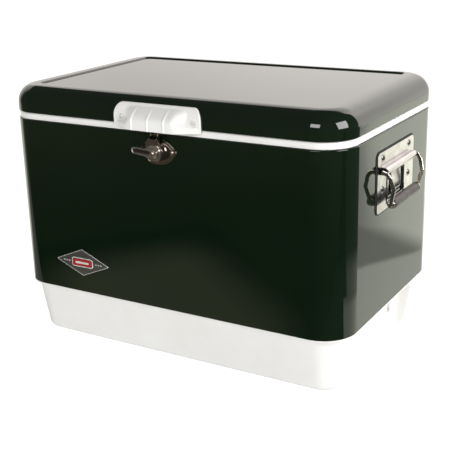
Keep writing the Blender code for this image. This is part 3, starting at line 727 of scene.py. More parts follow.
def body_shells():
    tub = cut(moulded_base(), bore_at_drain(-0.008, 0.004))
    piece("moulded_base", tub, WHITE, "body", "white_plastic", "base_tub")
    piece("steel_case", steel_case(), PAINT, "body", "green_paint", "outer_case")
    liner = cut(cavity_tub(), bore_at_drain(-0.030, -0.001))
    piece("cavity_tub", liner, WHITE, "body", "white_plastic", "inner_liner")
    piece("lid_pan", lid_pan(), PAINT, "lid", "green_paint", "lid_shell")
    piece("lid_plug", lid_plug(), WHITE, "lid", "white_plastic", "lid_liner")


body_shells()


# ---------------------------------------------------------------- screws

def phillips_head(radius, height):
    """A pan head with a cross recess, seated at z = 0, and a short shank below."""
    crown = 0.55 * height
    profile = [(0.0, height)]
    profile += [
        (radius * 0.72 * math.sin(a), height - (height - crown) * (1 - math.cos(a)) * 0.55)
        for a in (0.45, 0.9, 1.3)
    ]
    profile += rounded([
        (radius * 0.80, crown + 0.12 * height), (radius, crown, 0.35 * radius), (radius, 0.0),
    ], steps=4)
    profile += [(radius * 0.5, 0.0), (radius * 0.45, -0.003), (0.0, -0.0036)]
    head = lathe(profile, 32)
    arms = []
    for angle in (0, 90):
        arm = bmesh.new()
        bmesh.ops.create_cube(arm, size=1.0)
        bmesh.ops.scale(arm, vec=(radius * 1.02, radius * 0.24, height * 1.3), verts=arm.verts)
        for vert in arm.verts:
            if vert.co.z < 0:
                vert.co.x *= 0.45
                vert.co.y *= 0.7
        shift = moved(0, 0, height * 1.06)
        bmesh.ops.transform(arm, matrix=turned(angle, "Z") @ shift, verts=arm.verts)
        arms.append(arm)
    return cut(head, *arms)


def screws(name, places, body, *replaced, radius=0.0037, height=0.0022, look=SCREW):
    """One piece of several screws, each at its own matrix, with its cross at its own angle."""
    parts = [
        (phillips_head(radius, height), at @ turned(27 + 41 * number, "Z"))
        for number, at in enumerate(places)
    ]
    piece(name, joined(*parts), look, body, "chrome", *replaced, sharp=35)


# ---------------------------------------------------------------- lid handle

HANDLE_HALF = 0.074
HANDLE_TOP_HALF = 0.0605
HANDLE_SKIN = 0.0032
HANDLE_WALL = 0.0026
HANDLE_LOW = 0.3680
HANDLE_HIGH = 0.4032
HOOD_DEPTH = 0.0165
HOOD_FLAT = 0.034
HOOD_HALF = 0.053
HOOD_WIDENING = 0.022
HOOD_TURN = 0.3845
HANDLE_SCREW = (0.0615, 0.3818)
HANDLE_CORNER = 0.020
SEAT_RADIUS = 0.0058
SEAT_ZONE = 0.0078
RIBS = (-0.0320, -0.0045, 0.0230)
RIB_HALF = 0.0024
RIB_TOP = 0.3990
RELIEF = 0.0011
ROUNDING = 0.0013


def handle_half_width(height):
    draw_in = edge_drop(HANDLE_HIGH - height, HANDLE_CORNER) / HANDLE_CORNER
    return HANDLE_HALF - (HANDLE_HALF - HANDLE_TOP_HALF) * draw_in


def handle_flange(height):
    rise = max(height - (LID_TOP - LID_EDGE), 0.0)
    return math.sqrt((LID_EDGE + HANDLE_SKIN) ** 2 - rise ** 2) - LID_EDGE


def hood(x, height):
    """How far the hood stands out: it widens towards the handle's lower edge."""
    half = HOOD_HALF + HOOD_WIDENING * smooth_step((HOOD_TURN - height) / 0.0120)
    across = 1 - smooth_step((abs(x) - HOOD_FLAT) / (half - HOOD_FLAT))
    up = math.sqrt(max(1 - smooth_step((height - 0.380) / 0.0195), 0.0))
    return HOOD_DEPTH * across * up


def handle_front(x, height, half):
    """The moulding's outer face: flange, hood, ribs, screw seats and rounded rim."""
    out = handle_flange(height) + hood(x, height)
    for rib in RIBS:
        across = smooth_step(1 - abs(x - rib) / RIB_HALF)
        out += RELIEF * across * smooth_step((RIB_TOP - height) / 0.0035)
    seat_x, seat_z = HANDLE_SCREW
    reach = math.hypot(abs(x) - seat_x, height - seat_z)
    out -= RELIEF * smooth_step((SEAT_RADIUS - reach) / 0.0007)
    out += 0.0004 * smooth_step(1 - abs(reach - SEAT_RADIUS - 0.0008) / 0.0008)
    rim = min(half - abs(x), HANDLE_HIGH - height, height - HANDLE_LOW)
    return out - edge_drop(rim, ROUNDING)


def spaced(low, high, step, fine):
    """Places from low to high, step apart, with closer ones round each (centre, reach)."""
    count = round((high - low) / step)
    places = [low + (high - low) * i / count for i in range(count + 1)]
    for centre, reach, fine_step in fine:
        steps = round(2 * reach / fine_step)
        places += [centre - reach + 2 * reach * i / steps for i in range(steps + 1)]
    places = sorted(p for p in places if low <= p <= high)
    kept = [places[0]]
    for place in places[1:]:
        if place - kept[-1] > 0.00012:
            kept.append(place)
    kept[-1] = high
    return kept


def lid_handle():
    seat_x, seat_z = HANDLE_SCREW
    fine = [(-seat_x, SEAT_ZONE, 0.0004), (seat_x, SEAT_ZONE, 0.0004)]
    fine += [(rib, RIB_HALF + 0.0002, 0.0004) for rib in RIBS]
    fine += [(-HANDLE_HALF, 0.0014, 0.00025), (HANDLE_HALF, 0.0014, 0.00025)]
    columns = spaced(-HANDLE_HALF, HANDLE_HALF, 0.0013, fine)
    rows = spaced(HANDLE_LOW, HANDLE_HIGH, 0.0010, [
        (seat_z, SEAT_ZONE, 0.0004), (HANDLE_LOW, 0.0014, 0.00025), (HANDLE_HIGH, 0.0024, 0.00025),
    ])
    front, back = [], []
    for z in rows:
        half = handle_half_width(z)
        flange = handle_flange(z)
        front_row, back_row = [], []
        for x in (column * half / HANDLE_HALF for column in columns):
            face = handle_front(x, z, half)
            shelled = flange + hood(x, z) - HANDLE_WALL
            front_row.append(Vector((x, z, face)))
            back_row.append(Vector((x, z, max(flange - HANDLE_SKIN + 0.0002, min(shelled, face - 0.0008)))))
        front.append(front_row)
        back.append(back_row)
    piece(
        "lid_handle_moulding", sheet_solid(front, back), WHITE, "lid", "white_plastic", "lid_handle",
        at=on_face("front"), sharp=60,
    )
    seats = [on_face("front", x, seat_z, HANDLE_SKIN - 0.0010) for x in (-seat_x, seat_x)]
    screws(
        "lid_handle_screws", seats, "lid", "lid_handle_screw_left", "lid_handle_screw_right",
        radius=0.0036, height=0.0017, look=PALE_STEEL,
    )


# ---------------------------------------------------------------- latch

LEVER_START, LEVER_END = -0.0346, 0.0100
LEVER_CORNER = 0.0034
LEVER_BACK, LEVER_FLOOR, LEVER_LIP = 0.0126, 0.0156, 0.0024
EDGE_ROLL = 0.0005


def leaf_outline(tip, half_height):
    """A pointed leaf: two arcs that meet at slightly blunted tips."""
    radius = (tip ** 2 + half_height ** 2) / (2 * half_height)
    spread = math.degrees(math.asin(tip / radius)) - 1.6
    low = radius - half_height
    upper = arc((0, -low), radius, 90 - spread, 90 + spread, 40)
    return upper + arc((0, low), radius, 270 - spread, 270 + spread, 40)


def channel_lever():
    """The lever: a pressed channel whose two long edges stand up, wider at its boss."""
    fine = [(LEVER_START, 0.0030, 0.0003), (LEVER_END, 0.0030, 0.0003)]
    shares = spaced(-1.0, 1.0, 0.08, [(-0.75, 0.25, 0.03), (0.75, 0.25, 0.03)])
    front, back = [], []
    for x in spaced(LEVER_START, LEVER_END, 0.0012, fine):
        ends = min(x - LEVER_START, LEVER_END - x)
        half = 0.0047 + 0.0009 * smooth_step((x + 0.034) / 0.040) - edge_drop(ends, LEVER_CORNER)
        ys = [max(half, 0.0006) * share for share in shares]
        front_row = []
        for y in ys:
            edge = min(ys[-1] - abs(y), ends)
            lip = LEVER_LIP * smooth_step((0.0019 - edge) / 0.0009)
            front_row.append(Vector((x, y, LEVER_FLOOR + lip - edge_drop(edge, EDGE_ROLL))))
        front.append(front_row)
        back.append([Vector((x, y, LEVER_BACK)) for y in ys])
    return sheet_solid(front, back)


def strike_strap():
    """The strike: a strap from the lid's handle that steps outwards and ends in a foot."""
    foot = LATCH_Z + 0.0043
    line = rounded([
        (0.3845, 0.0011), (0.3738, 0.0011, 0.0016), (0.3710, 0.0034, 0.0016),
        (foot, 0.0034, 0.0012), (foot, 0.0080),
    ], steps=5)
    strap = strip(line, rectangle((-0.0065, -0.0007), (0.0065, 0.0007), 0.0004, 3))
    outline = rounded([
        (0.3700, 0.0028, 0.0010), (0.3700, 0.0060, 0.0012), (0.3605, 0.0092, 0.0020),
        (0.3570, 0.0131, 0.0008), (0.3520, 0.0131, 0.0008), (0.3500, 0.0092, 0.0010),
        (0.3470, 0.0060, 0.0015), (0.3470, 0.0028, 0.0005),
    ], True, 5)
    cheeks = []
    for x in (-0.0060, 0.0060):
        stand = Matrix(((0, 0, 1, x), (1, 0, 0, 0), (0, 1, 0, 0), (0, 0, 0, 1)))
        cheeks.append((slab([outline], -0.0005, 0.0005, 0.0003), stand))
    rail = block((-0.0070, 0.3600), (0.0070, 0.3642), 0.0010, 0.0030, 0.0052, 0.0006)
    edge = [
        (0.0125, 0.3475, 0.0012), (0.0125, 0.3512, 0.0010), (0.0088, 0.3526, 0.0008),
        (0.0088, 0.3562, 0.0010),
    ]
    edge += [(-x, z, radius) for x, z, radius in reversed(edge)]
    shield = slab([rounded(edge, True, 4)], 0.0127, 0.0139, 0.0004, 3)
    step = block((-0.0062, 0.3500), (0.0062, 0.3552), 0.0008, 0.0136, 0.0145, 0.0004)
    return joined(strap, rail, shield, step, *cheeks)


def latch():
    centre = on_face("front", 0.0, LATCH_Z)
    hole = circle((0, 0), 0.0100)
    leaf = slab([leaf_outline(0.0320, 0.0190), hole], GAP, 0.0016, 0.0005, 3)
    raised = slab([leaf_outline(0.0275, 0.0150), hole], 0.0008, 0.0021, 0.0005, 3)
    wall = lathe(rounded([
        (0.0164, 0.0009), (0.0160, 0.0026, 0.0012), (0.0152, 0.0040, 0.0010), (0.0152, 0.0122, 0.0008),
        (0.0134, 0.0122, 0.0005), (0.0134, 0.0009), (0.0164, 0.0009),
    ], steps=5), 96)
    wall = cut(wall, block((-0.0082, 0.0060), (0.0082, 0.0260), 0.0010, 0.0016, 0.0300, 0.0004))
    floor = slab([circle((0, 0), 0.0140)], 0.0008, 0.0022, 0.0004)
    piece(
        "latch_base", joined(leaf, raised, wall, floor), PAINTED_SHADE_CHROME, "body", "chrome", "latch_plate",
        at=centre, sharp=35,
    )
    seats = [centre @ moved(x, 0, 0.0020) for x in (-0.0245, 0.0245)]
    screws(
        "latch_screws", seats, "body", "latch_screw_left", "latch_screw_right",
        radius=0.0028, height=0.0015, look=DARK_CHROME,
    )

    disc = lathe(rounded([
        (0.0030, 0.0098), (0.0126, 0.0098, 0.0004), (0.0126, 0.0119, 0.0006), (0.0084, 0.0121, 0.0010),
        (0.0030, 0.0123), (0.0030, 0.0098),
    ], steps=4), 72)
    hook_line = arc((0, 0), 0.0122, -50, 38, 24) + arc((0, 0), 0.0091, 38, -50, 20)
    rotor = joined(disc, slab([hook_line], 0.0058, 0.0102, 0.0004))
    piece("latch_disc", rotor, CHROME, "latch", "chrome", "latch_rotor", at=centre, sharp=35)
    tilt = centre @ turned(-5, "Z")
    piece("latch_channel", channel_lever(), CHROME, "latch", "chrome", "latch_lever", at=tilt, sharp=50)
    # A dark block along the lever's channel floor: painted shade in the channel.
    channel_shade = block((-0.0326, -0.0027), (-0.0042, 0.0027), 0.0014, 0.0150, 0.0160, 0.0002)
    piece("latch_channel_shade", channel_shade, PAINTED_SHADE_STEEL, "latch", "chrome", at=tilt)

    pin = lathe(rounded([
        (0.0, 0.0190), (0.0022, 0.0187, 0.0010), (0.0031, 0.0172, 0.0005), (0.0031, 0.0160),
        (0.0024, 0.0160), (0.0024, -0.0060), (0.0, -0.0060),
    ], steps=5), 40)
    piece("latch_stud", pin, DARK_CHROME, "body", "chrome", "latch_pin", at=centre)

    piece(
        "strike_strap", strike_strap(), PAINTED_SHADE_CHROME, "lid", "chrome", "latch_strike",
        at=on_face("front"),
    )
    head = rounded([
        (0.0, 0.0016), (0.0016, 0.0013, 0.0010), (0.0024, 0.0003, 0.0003), (0.0024, 0.0),
        (0.0012, 0.0), (0.0012, -0.004), (0.0, -0.004),
    ], steps=4)
    rivets = [(lathe(head, 24), on_face("front", x, 0.3795, 0.0019)) for x in (-0.0036, 0.0036)]
    names = ("strike_rivet_left", "strike_rivet_right")
    piece("strike_rivets", joined(*rivets), SCREW, "lid", "chrome", *names)


# ---------------------------------------------------------------- end handles

PLATE_HALF = 0.072
PLATE_LOW = 0.247 - HANDLE_Z
PLATE_HIGH = 0.335 - HANDLE_Z
BAND_HALF = 0.058
PIVOT_OUT = 0.0064
ARM_AT = 0.0645
EYE_AT = 0.0530
GRIP_DROP = 0.048
GRIP_OUT = 0.0155
ROD = 0.0022
TONGUE_HALF = 0.0195
TONGUE_TOP, TONGUE_LOW = -0.0070, -0.0400
TONGUE_CORNER = 0.0040
TONGUE_ROWS = 24


def opener_tongue():
    """The tongue in the opener's window, which bends out a little as it comes down."""
    fine = [(-TONGUE_HALF, 0.0010, 0.0002), (TONGUE_HALF, 0.0010, 0.0002)]
    columns = spaced(-TONGUE_HALF, TONGUE_HALF, 0.0020, fine)
    front, back = [], []
    for row in range(TONGUE_ROWS + 1):
        drop = TONGUE_TOP + (TONGUE_LOW - TONGUE_TOP) * row / TONGUE_ROWS
        bend = 0.0010 * smooth_step(row / TONGUE_ROWS) - 0.0005 * smooth_step((row - 20) / 4)
        half = TONGUE_HALF - edge_drop(drop - TONGUE_LOW, TONGUE_CORNER)
        us = [column * half / TONGUE_HALF for column in columns]
        rolls = [edge_drop(min(half - abs(u), drop - TONGUE_LOW), EDGE_ROLL) for u in us]
        front.append([Vector((u, drop, 0.0018 + bend - roll)) for u, roll in zip(us, rolls)])
        back.append([Vector((u, drop, 0.0006 + bend)) for u in us])
    return sheet_solid(front, back)


def handle_plate():
    """The stamped plate, its opener window and tongue, its raised frame and its band."""
    outline = rectangle((-PLATE_HALF, PLATE_LOW), (PLATE_HALF, PLATE_HIGH), 0.0075)
    window = rectangle((-0.0300, -0.0490), (0.0300, -0.0080), 0.0030)
    plate = slab([outline, window], 0.0010, 0.0020, 0.0004, 3)
    frame_outer = rectangle((-0.0365, -0.0560), (0.0365, -0.0060), 0.0050)
    frame_inner = rectangle((-0.0312, -0.0502), (0.0312, -0.0070), 0.0030)
    frame_ring = slab([frame_outer, frame_inner], 0.0012, 0.0030, 0.0008, 3)
    cheek = PIVOT_OUT - 0.001
    section = rounded([
        (0.0085, 0.0014, 0.0010), (0.0062, 0.0018, 0.0012), (0.0056, PIVOT_OUT, 0.0020),
        *arc((0, PIVOT_OUT), 0.0060, 12, 168, 22),
        (-0.0056, cheek, 0.0020), (-0.0054, 0.0014, 0.0008), (-0.0040, 0.0010), (-0.0040, cheek, 0.0015),
        *arc((0, PIVOT_OUT), 0.0045, 168, 12, 18),
        (0.0042, cheek, 0.0015), (0.0042, 0.0010),
    ], True, 4)
    full = BAND_HALF - 0.0006
    ends = [(-BAND_HALF, 0.988), (-full, 1.0), (full, 1.0), (BAND_HALF, 0.988)]
    band = tube([(Vector((u, 0, 0)), Vector((0, 1, 0)), Vector((0, 0, 1)), s) for u, s in ends], section)
    ring = rounded([
        (0.0060, 0.0018), (0.0056, 0.0026, 0.0006), (0.0044, 0.0026, 0.0004), (0.0040, 0.0018),
        (0.0060, 0.0018),
    ], steps=3)
    dimples = [(lathe(ring, 40), moved(u, v, 0.0)) for u, v in handle_screw_places()]
    return joined(plate, frame_ring, band, opener_tongue(), *dimples)


def handle_screw_places():
    return [(u, v) for v in (0.018, -0.0275) for u in (-0.052, 0.052)]


def bail_wire():
    """The bail: a rod in the band, two flat arms that bow outwards and draw in, two eyes."""
    pivot = lathe(rounded([
        (0.0, ARM_AT), (ROD, ARM_AT, 0.0006), (ROD, -ARM_AT, 0.0006), (0.0, -ARM_AT),
    ], steps=3), 20)
    parts = [(pivot, moved(0, 0, PIVOT_OUT) @ turned(90, "Y"))]
    line = rounded([
        (0.0010, PIVOT_OUT - 0.0006), (-0.0015, 0.0125, 0.0040), (-0.0080, 0.0168, 0.0040),
        (-0.0245, 0.0214, 0.0060), (-GRIP_DROP - 0.0010, GRIP_OUT - 0.0004),
    ], steps=8)
    flat = rectangle((-0.0012, -0.0030), (0.0012, 0.0030), 0.0011, 5)
    eye = rounded([
        (0.0, 0.0019), (0.0030, 0.0017, 0.0008), (0.0038, 0.0010, 0.0005), (0.0058, 0.0010, 0.0006),
        (0.0058, -0.0011, 0.0006), (0.0, -0.0011),
    ], steps=4)
    for side in (-1, 1):
        parts.append(strip(line, flat, side * ARM_AT, side * (ARM_AT - EYE_AT) / GRIP_DROP))
        at = moved(side * EYE_AT, -GRIP_DROP, GRIP_OUT) @ turned(90 * side, "Y")
        parts.append((lathe(eye, 48), at))
    rod = lathe([(0.0, EYE_AT), (ROD, EYE_AT), (ROD, -EYE_AT), (0.0, -EYE_AT)], 20)
    parts.append((rod, moved(0, -GRIP_DROP, GRIP_OUT) @ turned(90, "Y")))
    return joined(*parts)


def grip_sleeve():
    """The grip: a moulded sleeve with rounded ends and shallow end grooves."""
    half = EYE_AT - 0.0027
    profile = rounded([
        (0.0027, half), (0.0060, half, 0.0008), (0.0075, half - 0.0016, 0.0012),
        (0.0075, half - 0.0042, 0.0003), (0.0071, half - 0.0047, 0.0003), (0.0071, half - 0.0054, 0.0003),
        (0.0075, half - 0.0059, 0.0003), (0.0075, 0.0),
    ], steps=4)
    return lathe(mirrored(profile) + profile[:1], 64)


def end_handle(side):
    origin = on_face(side, 0.0, HANDLE_Z)
    piece(
        f"{side}_end_plate", handle_plate(), BRIGHT, "body", "chrome", f"{side}_handle_plate",
        at=origin, sharp=35,
    )
    # A dark rubber sheet under the plate that reaches out past its edges: painted shade along the plate's
    # outline.
    reach = PLATE_HALF + 0.0026
    gasket = slab([
        rectangle((-reach, PLATE_LOW - 0.0024), (reach, PLATE_HIGH + 0.0026), 0.0105),
        rectangle((-0.0290, -0.0480), (0.0290, -0.0090), 0.0030),
    ], 0.0001, 0.0009, 0.0003)
    piece(f"{side}_end_shade_rim", gasket, RUBBER, "body", "black_rubber", at=origin)
    seats = [origin @ moved(u, v, 0.0021) for u, v in handle_screw_places()]
    names = [f"{side}_handle_screw_{number}" for number in (1, 2, 3, 4)]
    # The dark steel on these screw heads is a painted dark reflection.
    screws(
        f"{side}_end_screws", seats, "body", *names, radius=0.0036, height=0.0019, look=PAINTED_SHADE_STEEL,
    )
    piece(
        f"{side}_bail_arms", bail_wire(), CHROME, f"{side}_bail", "chrome", f"{side}_bail", at=origin,
    )
    piece(
        f"{side}_grip_sleeve", grip_sleeve(), GRIP, f"{side}_grip", "grip_plastic", f"{side}_grip",
        at=origin @ moved(0, -GRIP_DROP, GRIP_OUT) @ turned(90, "Y"),
    )


# ---------------------------------------------------------------- hinges

LEAF_HALF = 0.030
KNUCKLE = 0.0036
KNUCKLE_SPLIT = 0.0100
LEAF_NEAR = 0.0040
LEAF_TOP = 0.0020
TAIL_END = 0.0006


def knuckle(start, end):
    """One rolled knuckle of a hinge along x, with a bore."""
    ring = rounded([
        (0.0018, end), (KNUCKLE, end, 0.0004), (KNUCKLE, start, 0.0004), (0.0018, start),
        (0.0018, end),
    ], steps=3)
    return lathe(ring, 40), moved(0, 0, HINGE_OUT) @ turned(90, "Y")


def hinge_leaf(up, reach, spans):
    """A leaf and its knuckles: up is 1 for the lid's leaf and -1 for the body's."""
    near, far = LEAF_NEAR * up, reach * up
    plate = rounded([
        (-LEAF_HALF, near), (LEAF_HALF, near), (LEAF_HALF, far, 0.0040), (-LEAF_HALF, far, 0.0040),
    ], True, 6)
    parts = [slab([plate], GAP, LEAF_TOP)]
    low, high = (TAIL_END, LEAF_NEAR + TAIL_END) if up > 0 else (-LEAF_NEAR, TAIL_END)
    for start, end in spans:
        parts.append(knuckle(start, end))
        parts.append(block((start, low), (end, high), 0.0003, GAP, LEAF_TOP, 0.0003, 1))
    return joined(*parts)


def hinge(side, x):
    at = on_face("back", -x, HINGE_Z)
    inner, outer = KNUCKLE_SPLIT - 0.0001, KNUCKLE_SPLIT + GAP
    lid_spans = [(-LEAF_HALF, -outer), (outer, LEAF_HALF)]
    leaves = (
        ("lower", "body", -1, 0.029, [(-inner, inner)]),
        ("upper", "lid", 1, 0.0166, lid_spans),
    )
    for place, body, up, reach, spans in leaves:
        piece(
            f"{side}_hinge_{place}", hinge_leaf(up, reach, spans), BRIGHT, body, "chrome",
            f"{side}_hinge_{body}_leaf", at=at, sharp=35,
        )
    end = LEAF_HALF + GAP
    pin = mirrored(rounded([
        (0.0, end + 0.0016), (0.0020, end + 0.0014, 0.0008), (0.0027, end + 0.0004, 0.0004),
        (0.0027, end), (0.0016, end), (0.0016, 0.0),
    ], steps=4))
    piece(
        f"{side}_hinge_rod", lathe(pin, 32), SCREW, "body", "chrome", f"{side}_hinge_pin",
        at=at @ moved(0, 0, HINGE_OUT) @ turned(90, "Y"),
    )
    rows = (("lower", "body", -0.019, 0.0035, 0.0019), ("upper", "lid", 0.0115, 0.0033, 0.0018))
    for place, body, up, radius, height in rows:
        seats = [at @ moved(u, up, LEAF_TOP) for u in (-0.020, 0.020)]
        names = [f"{side}_hinge_{body}_screw_{number}" for number in (1, 2)]
        screws(f"{side}_hinge_{place}_screws", seats, body, *names, radius=radius, height=height)


# ---------------------------------------------------------------- drain

def drain():
    mouth = on_face("right", DRAIN_Y, DRAIN_Z, RECESS_X - HALF_X)
    inner_end = HALF_X - CAVITY_FLOOR_INSET - RECESS_X - 0.0075
    spout = lathe(rounded([
        (0.0072, 0.0062, 0.0006), (0.0088, 0.0062, 0.0006), (0.0088, 0.0040, 0.0004),
        (0.0150, 0.0040, 0.0008), (0.0150, 0.0018, 0.0003), (0.0088, 0.0018),
        (0.0088, inner_end, 0.0005), (0.0072, inner_end, 0.0005),
    ], True, 4) + [(0.0072, 0.0056)], 64)
    parts = [spout]
    for x in (-0.0040, 0.0040):
        lug = slab([rounded([
            (0.0020, -0.0185, 0.0004), (0.0020, -0.0120, 0.0004), (0.0060, -0.0135, 0.0015),
            (0.0084, -0.0148, 0.0018), (0.0084, -0.0182, 0.0018),
        ], True, 4)], -0.0010, 0.0010, 0.0003)
        stand = Matrix(((0, 0, 1, x), (0, 1, 0, 0), (1, 0, 0, 0), (0, 0, 0, 1)))
        parts.append((lug, stand))
    piece("drain_tube", joined(*parts), WHITE, "body", "white_plastic", "drain_spout", at=mouth)
    seal = lathe(rounded([
        (DRAIN_HOLE, 0.0017), (0.0141, 0.0017, 0.0007), (0.0141, GAP, 0.0007), (DRAIN_HOLE, GAP),
        (DRAIN_HOLE, 0.0017),
    ], steps=4), 56)
    piece("drain_seal", seal, RUBBER, "body", "black_rubber", "drain_gasket", at=mouth)
    hexagon = rounded([(*p, 0.0012) for p in circle((0, 0), 0.0120, 6)], True, 4)
    nut_plan = [hexagon, circle((0, 0), DRAIN_HOLE)]
    nut = slab(nut_plan, inner_end + 0.0020, inner_end + 0.0070, 0.0006, 3)
    piece("drain_hex_nut", nut, WHITE, "body", "white_plastic", "drain_nut", at=mouth, sharp=35)

    knurls = 28
    points = knurls * 6
    rows = []
    for radius, height, ripple in (
        (0.0, 0.0066, 0), (0.0096, 0.0066, 0), (0.0097, 0.0044, 0), (0.0118, 0.0044, 0),
        (0.0122, 0.0048, 1), (0.0122, 0.0100, 1), (0.0119, 0.0107, 0.5), (0.0112, 0.0111, 0),
        (0.0088, 0.0111, 0), (0.0083, 0.0106, 0), (0.0, 0.0104, 0),
    ):
        row = []
        for i in range(points):
            angle = 2 * math.pi * i / points
            wave = 0.00028 * ripple * (math.cos(knurls * angle) - 1)
            size = max(radius + wave, 0.00002)
            row.append(Vector((size * math.cos(angle), size * math.sin(angle), height)))
        rows.append(row)
    tongue = block((-0.0026, -0.0190), (0.0026, -0.0105), 0.0006, 0.0046, 0.0082, 0.0006)
    tab = block((-0.0050, 0.0112), (0.0050, 0.0146), 0.0014, 0.0072, 0.0098, 0.0006)
    piece(
        "drain_flip_cap", joined(skin(rows), tongue, tab), WHITE, "drain_cap", "white_plastic",
        "drain_cap", at=mouth, sharp=38,
    )
    pin = lathe(rounded([
        (0.0, 0.0056), (0.0008, 0.0056, 0.0003), (0.0008, -0.0056, 0.0003), (0.0, -0.0056),
    ], steps=3), 16)
    at = mouth @ moved(0, -0.0165, 0.0064) @ turned(90, "Y")
    piece("drain_hinge_rod", pin, SCREW, "body", "chrome", "drain_cap_pin", at=at)


# ---------------------------------------------------------------- badge

def badge():
    """A diamond plate with a pale border line, bars, and a raised centre with one stripe."""
    at = on_face("front", BADGE_X, BADGE_Z)
    tip, height = 0.0535, 0.0225

    def diamond(scale):
        corners = [(-tip, 0), (0, -height), (tip, 0), (0, height)]
        return rounded([(x * scale, y * scale, 0.0012) for x, y in corners], True, 4)

    plate = slab([diamond(1.0)], GAP, 0.0015, 0.0005, 3)
    piece("badge_diamond", plate, BADGE, "body", "badge_metal", "badge_plate", at=at)
    line_top = 0.0018
    border = slab([diamond(0.965), diamond(0.935)], 0.0012, line_top, 0.0002, 1)
    frame_line = slab([
        rectangle((-0.0205, -0.0076), (0.0205, 0.0076), 0.0040),
        rectangle((-0.0192, -0.0063), (0.0192, 0.0063), 0.0030),
    ], 0.0012, 0.0024, 0.0002, 1)
    stripe = block((-0.0130, -0.0017), (0.0130, 0.0017), 0.0016, 0.0026, 0.0034, 0.0003)
    bars = []
    for angle in (180, 0):
        for start in (0.0245, 0.0295, 0.0345):
            bar = block((start, -0.0008), (start + 0.0030, 0.0008), 0.0004, 0.0012, line_top, 0.0002, 1)
            bars.append((bar, turned(angle, "Z")))
    marks = joined(border, frame_line, stripe, *bars)
    piece("badge_lines", marks, ENAMEL_PALE, "body", "badge_enamel", at=at)
    centre = block((-0.0185, -0.0057), (0.0185, 0.0057), 0.0026, 0.0012, 0.0030, 0.0006, 3)
    piece("badge_boss", centre, ENAMEL_RED, "body", "badge_enamel", "badge_centre", at=at)


def carried_over():
    """The CAD nodes that stay, with a finished material."""
    for name in ("body_foam", "lid_foam"):
        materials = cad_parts[name].data.materials
        materials.clear()
        materials.append(FOAM)


lid_handle()
latch()
end_handle("right")
end_handle("left")
hinge("right", HINGE_X)
hinge("left", -HINGE_X)
drain()
badge()
carried_over()


# ---------------------------------------------------------------- camera, floor and light

CAMERA_AT = (0.755, -1.269, 0.656)
CAMERA_TURNS = (30.84, 18.21, -1.54)
LENS = 75.57


def camera():
    yaw, pitch, roll = (math.radians(angle) for angle in CAMERA_TURNS)
    level = Vector((math.cos(yaw), math.sin(yaw), 0.0))
    ahead = Vector((-level.y * math.cos(pitch), level.x * math.cos(pitch), -math.sin(pitch)))
    over = level.cross(ahead)
    right = level * math.cos(roll) + over * math.sin(roll)
    up = over * math.cos(roll) - level * math.sin(roll)
    lens = bpy.data.cameras.new("camera")
    lens.lens = LENS
    lens.sensor_width = 36.0
    obj = linked("camera", lens)
    obj.matrix_world = moved(*CAMERA_AT) @ Matrix((right, up, -ahead)).transposed().to_4x4()
    bpy.context.scene.camera = obj


def glow(name, strength, colour):
    """A light of one strength, or of ramps (axis, low, high, bottom, top) that multiply; the
    axis is X, Y or Z, or R for the distance from the object's origin."""
    made = bpy.data.materials.new(name)
    made.use_nodes = True
    tree = made.node_tree
    new, link = tree.nodes.new, tree.links.new
    tree.nodes.clear()
    output = new("ShaderNodeOutputMaterial")
    light = new("ShaderNodeEmission")
    light.inputs["Color"].default_value = (*colour, 1.0)
    link(light.outputs["Emission"], output.inputs["Surface"])
    if isinstance(strength, float):
        light.inputs["Strength"].default_value = strength
        return made
    place = new("ShaderNodeTexCoord").outputs["Object"]
    split = new("ShaderNodeSeparateXYZ")
    link(place, split.inputs["Vector"])
    distance = new("ShaderNodeVectorMath")
    distance.operation = "LENGTH"
    link(place, distance.inputs[0])
    total = None
    for axis, *span in strength:
        ramp = new("ShaderNodeMapRange")
        ramp.interpolation_type = "SMOOTHSTEP"
        set_range(ramp, *span)
        link(distance.outputs["Value"] if axis == "R" else split.outputs[axis], ramp.inputs["Value"])
        if total is None:
            total = ramp.outputs["Result"]
            continue
        product = new("ShaderNodeMath")
        product.operation = "MULTIPLY"
        link(total, product.inputs[0])
        link(ramp.outputs["Result"], product.inputs[1])
        total = product.outputs["Value"]
    link(total, light.inputs["Strength"])
    return made


def plane(name, corners, look):
    bm = bmesh.new()
    bm.faces.new([bm.verts.new(corner) for corner in corners])
    mesh = mesh_of(bm, name)
    mesh.materials.append(look)
    obj = linked(name, mesh)
    return obj


def oblong(x0, y0, x1, y1):
    """The corners of a flat rectangle."""
    return [(x0, y0, 0), (x1, y0, 0), (x1, y1, 0), (x0, y1, 0)]


def area_light(name, place, size, power):
    """A softbox that faces the cooler."""
    light = bpy.data.lights.new(name, "AREA")
    light.shape = "RECTANGLE"
    light.size, light.size_y = size
    light.energy = power
    obj = linked(name, light)
    obj.location = place
    obj.rotation_euler = (Vector(LIGHT_AIM) - Vector(place)).to_track_quat("-Z", "Y").to_euler()


WARM = (1.0, 0.955, 0.91)
OLIVE = (1.0, 0.93, 0.66)
SAGE = (1.0, 1.02, 0.88)
WORLD_LIGHT = 0.11
FLOOR_GLOW = 1.0
FLOOR_REACH = 40.0
LIGHT_AIM = (0.20, 0.0, 0.25)
RIGHT_POWER = 41.0
FRONT_POWER = 24.5
FAR = 6.0
BACK_Y = 3.0
EDGE_X = 0.30
EDGE_Y = -0.08
EDGE_SLOPE = 0.466
LEFT_X = -4.5
POOL_X, POOL_Y = 0.24, -0.13


def edge_at(y):
    """Where the bright sweep behind the cooler ends on its right."""
    return EDGE_X + (y - EDGE_Y) * EDGE_SLOPE


def card(name, corners, strength, tint=WARM, place=(0.0, 0.0, 0.0), turn=0.0):
    """A glowing card that shows only in reflections."""
    made = plane(name, corners, glow(name, strength, tint))
    made.matrix_world = moved(*place) @ turned(turn, "Z")
    made.visible_camera = False
    made.visible_diffuse = False


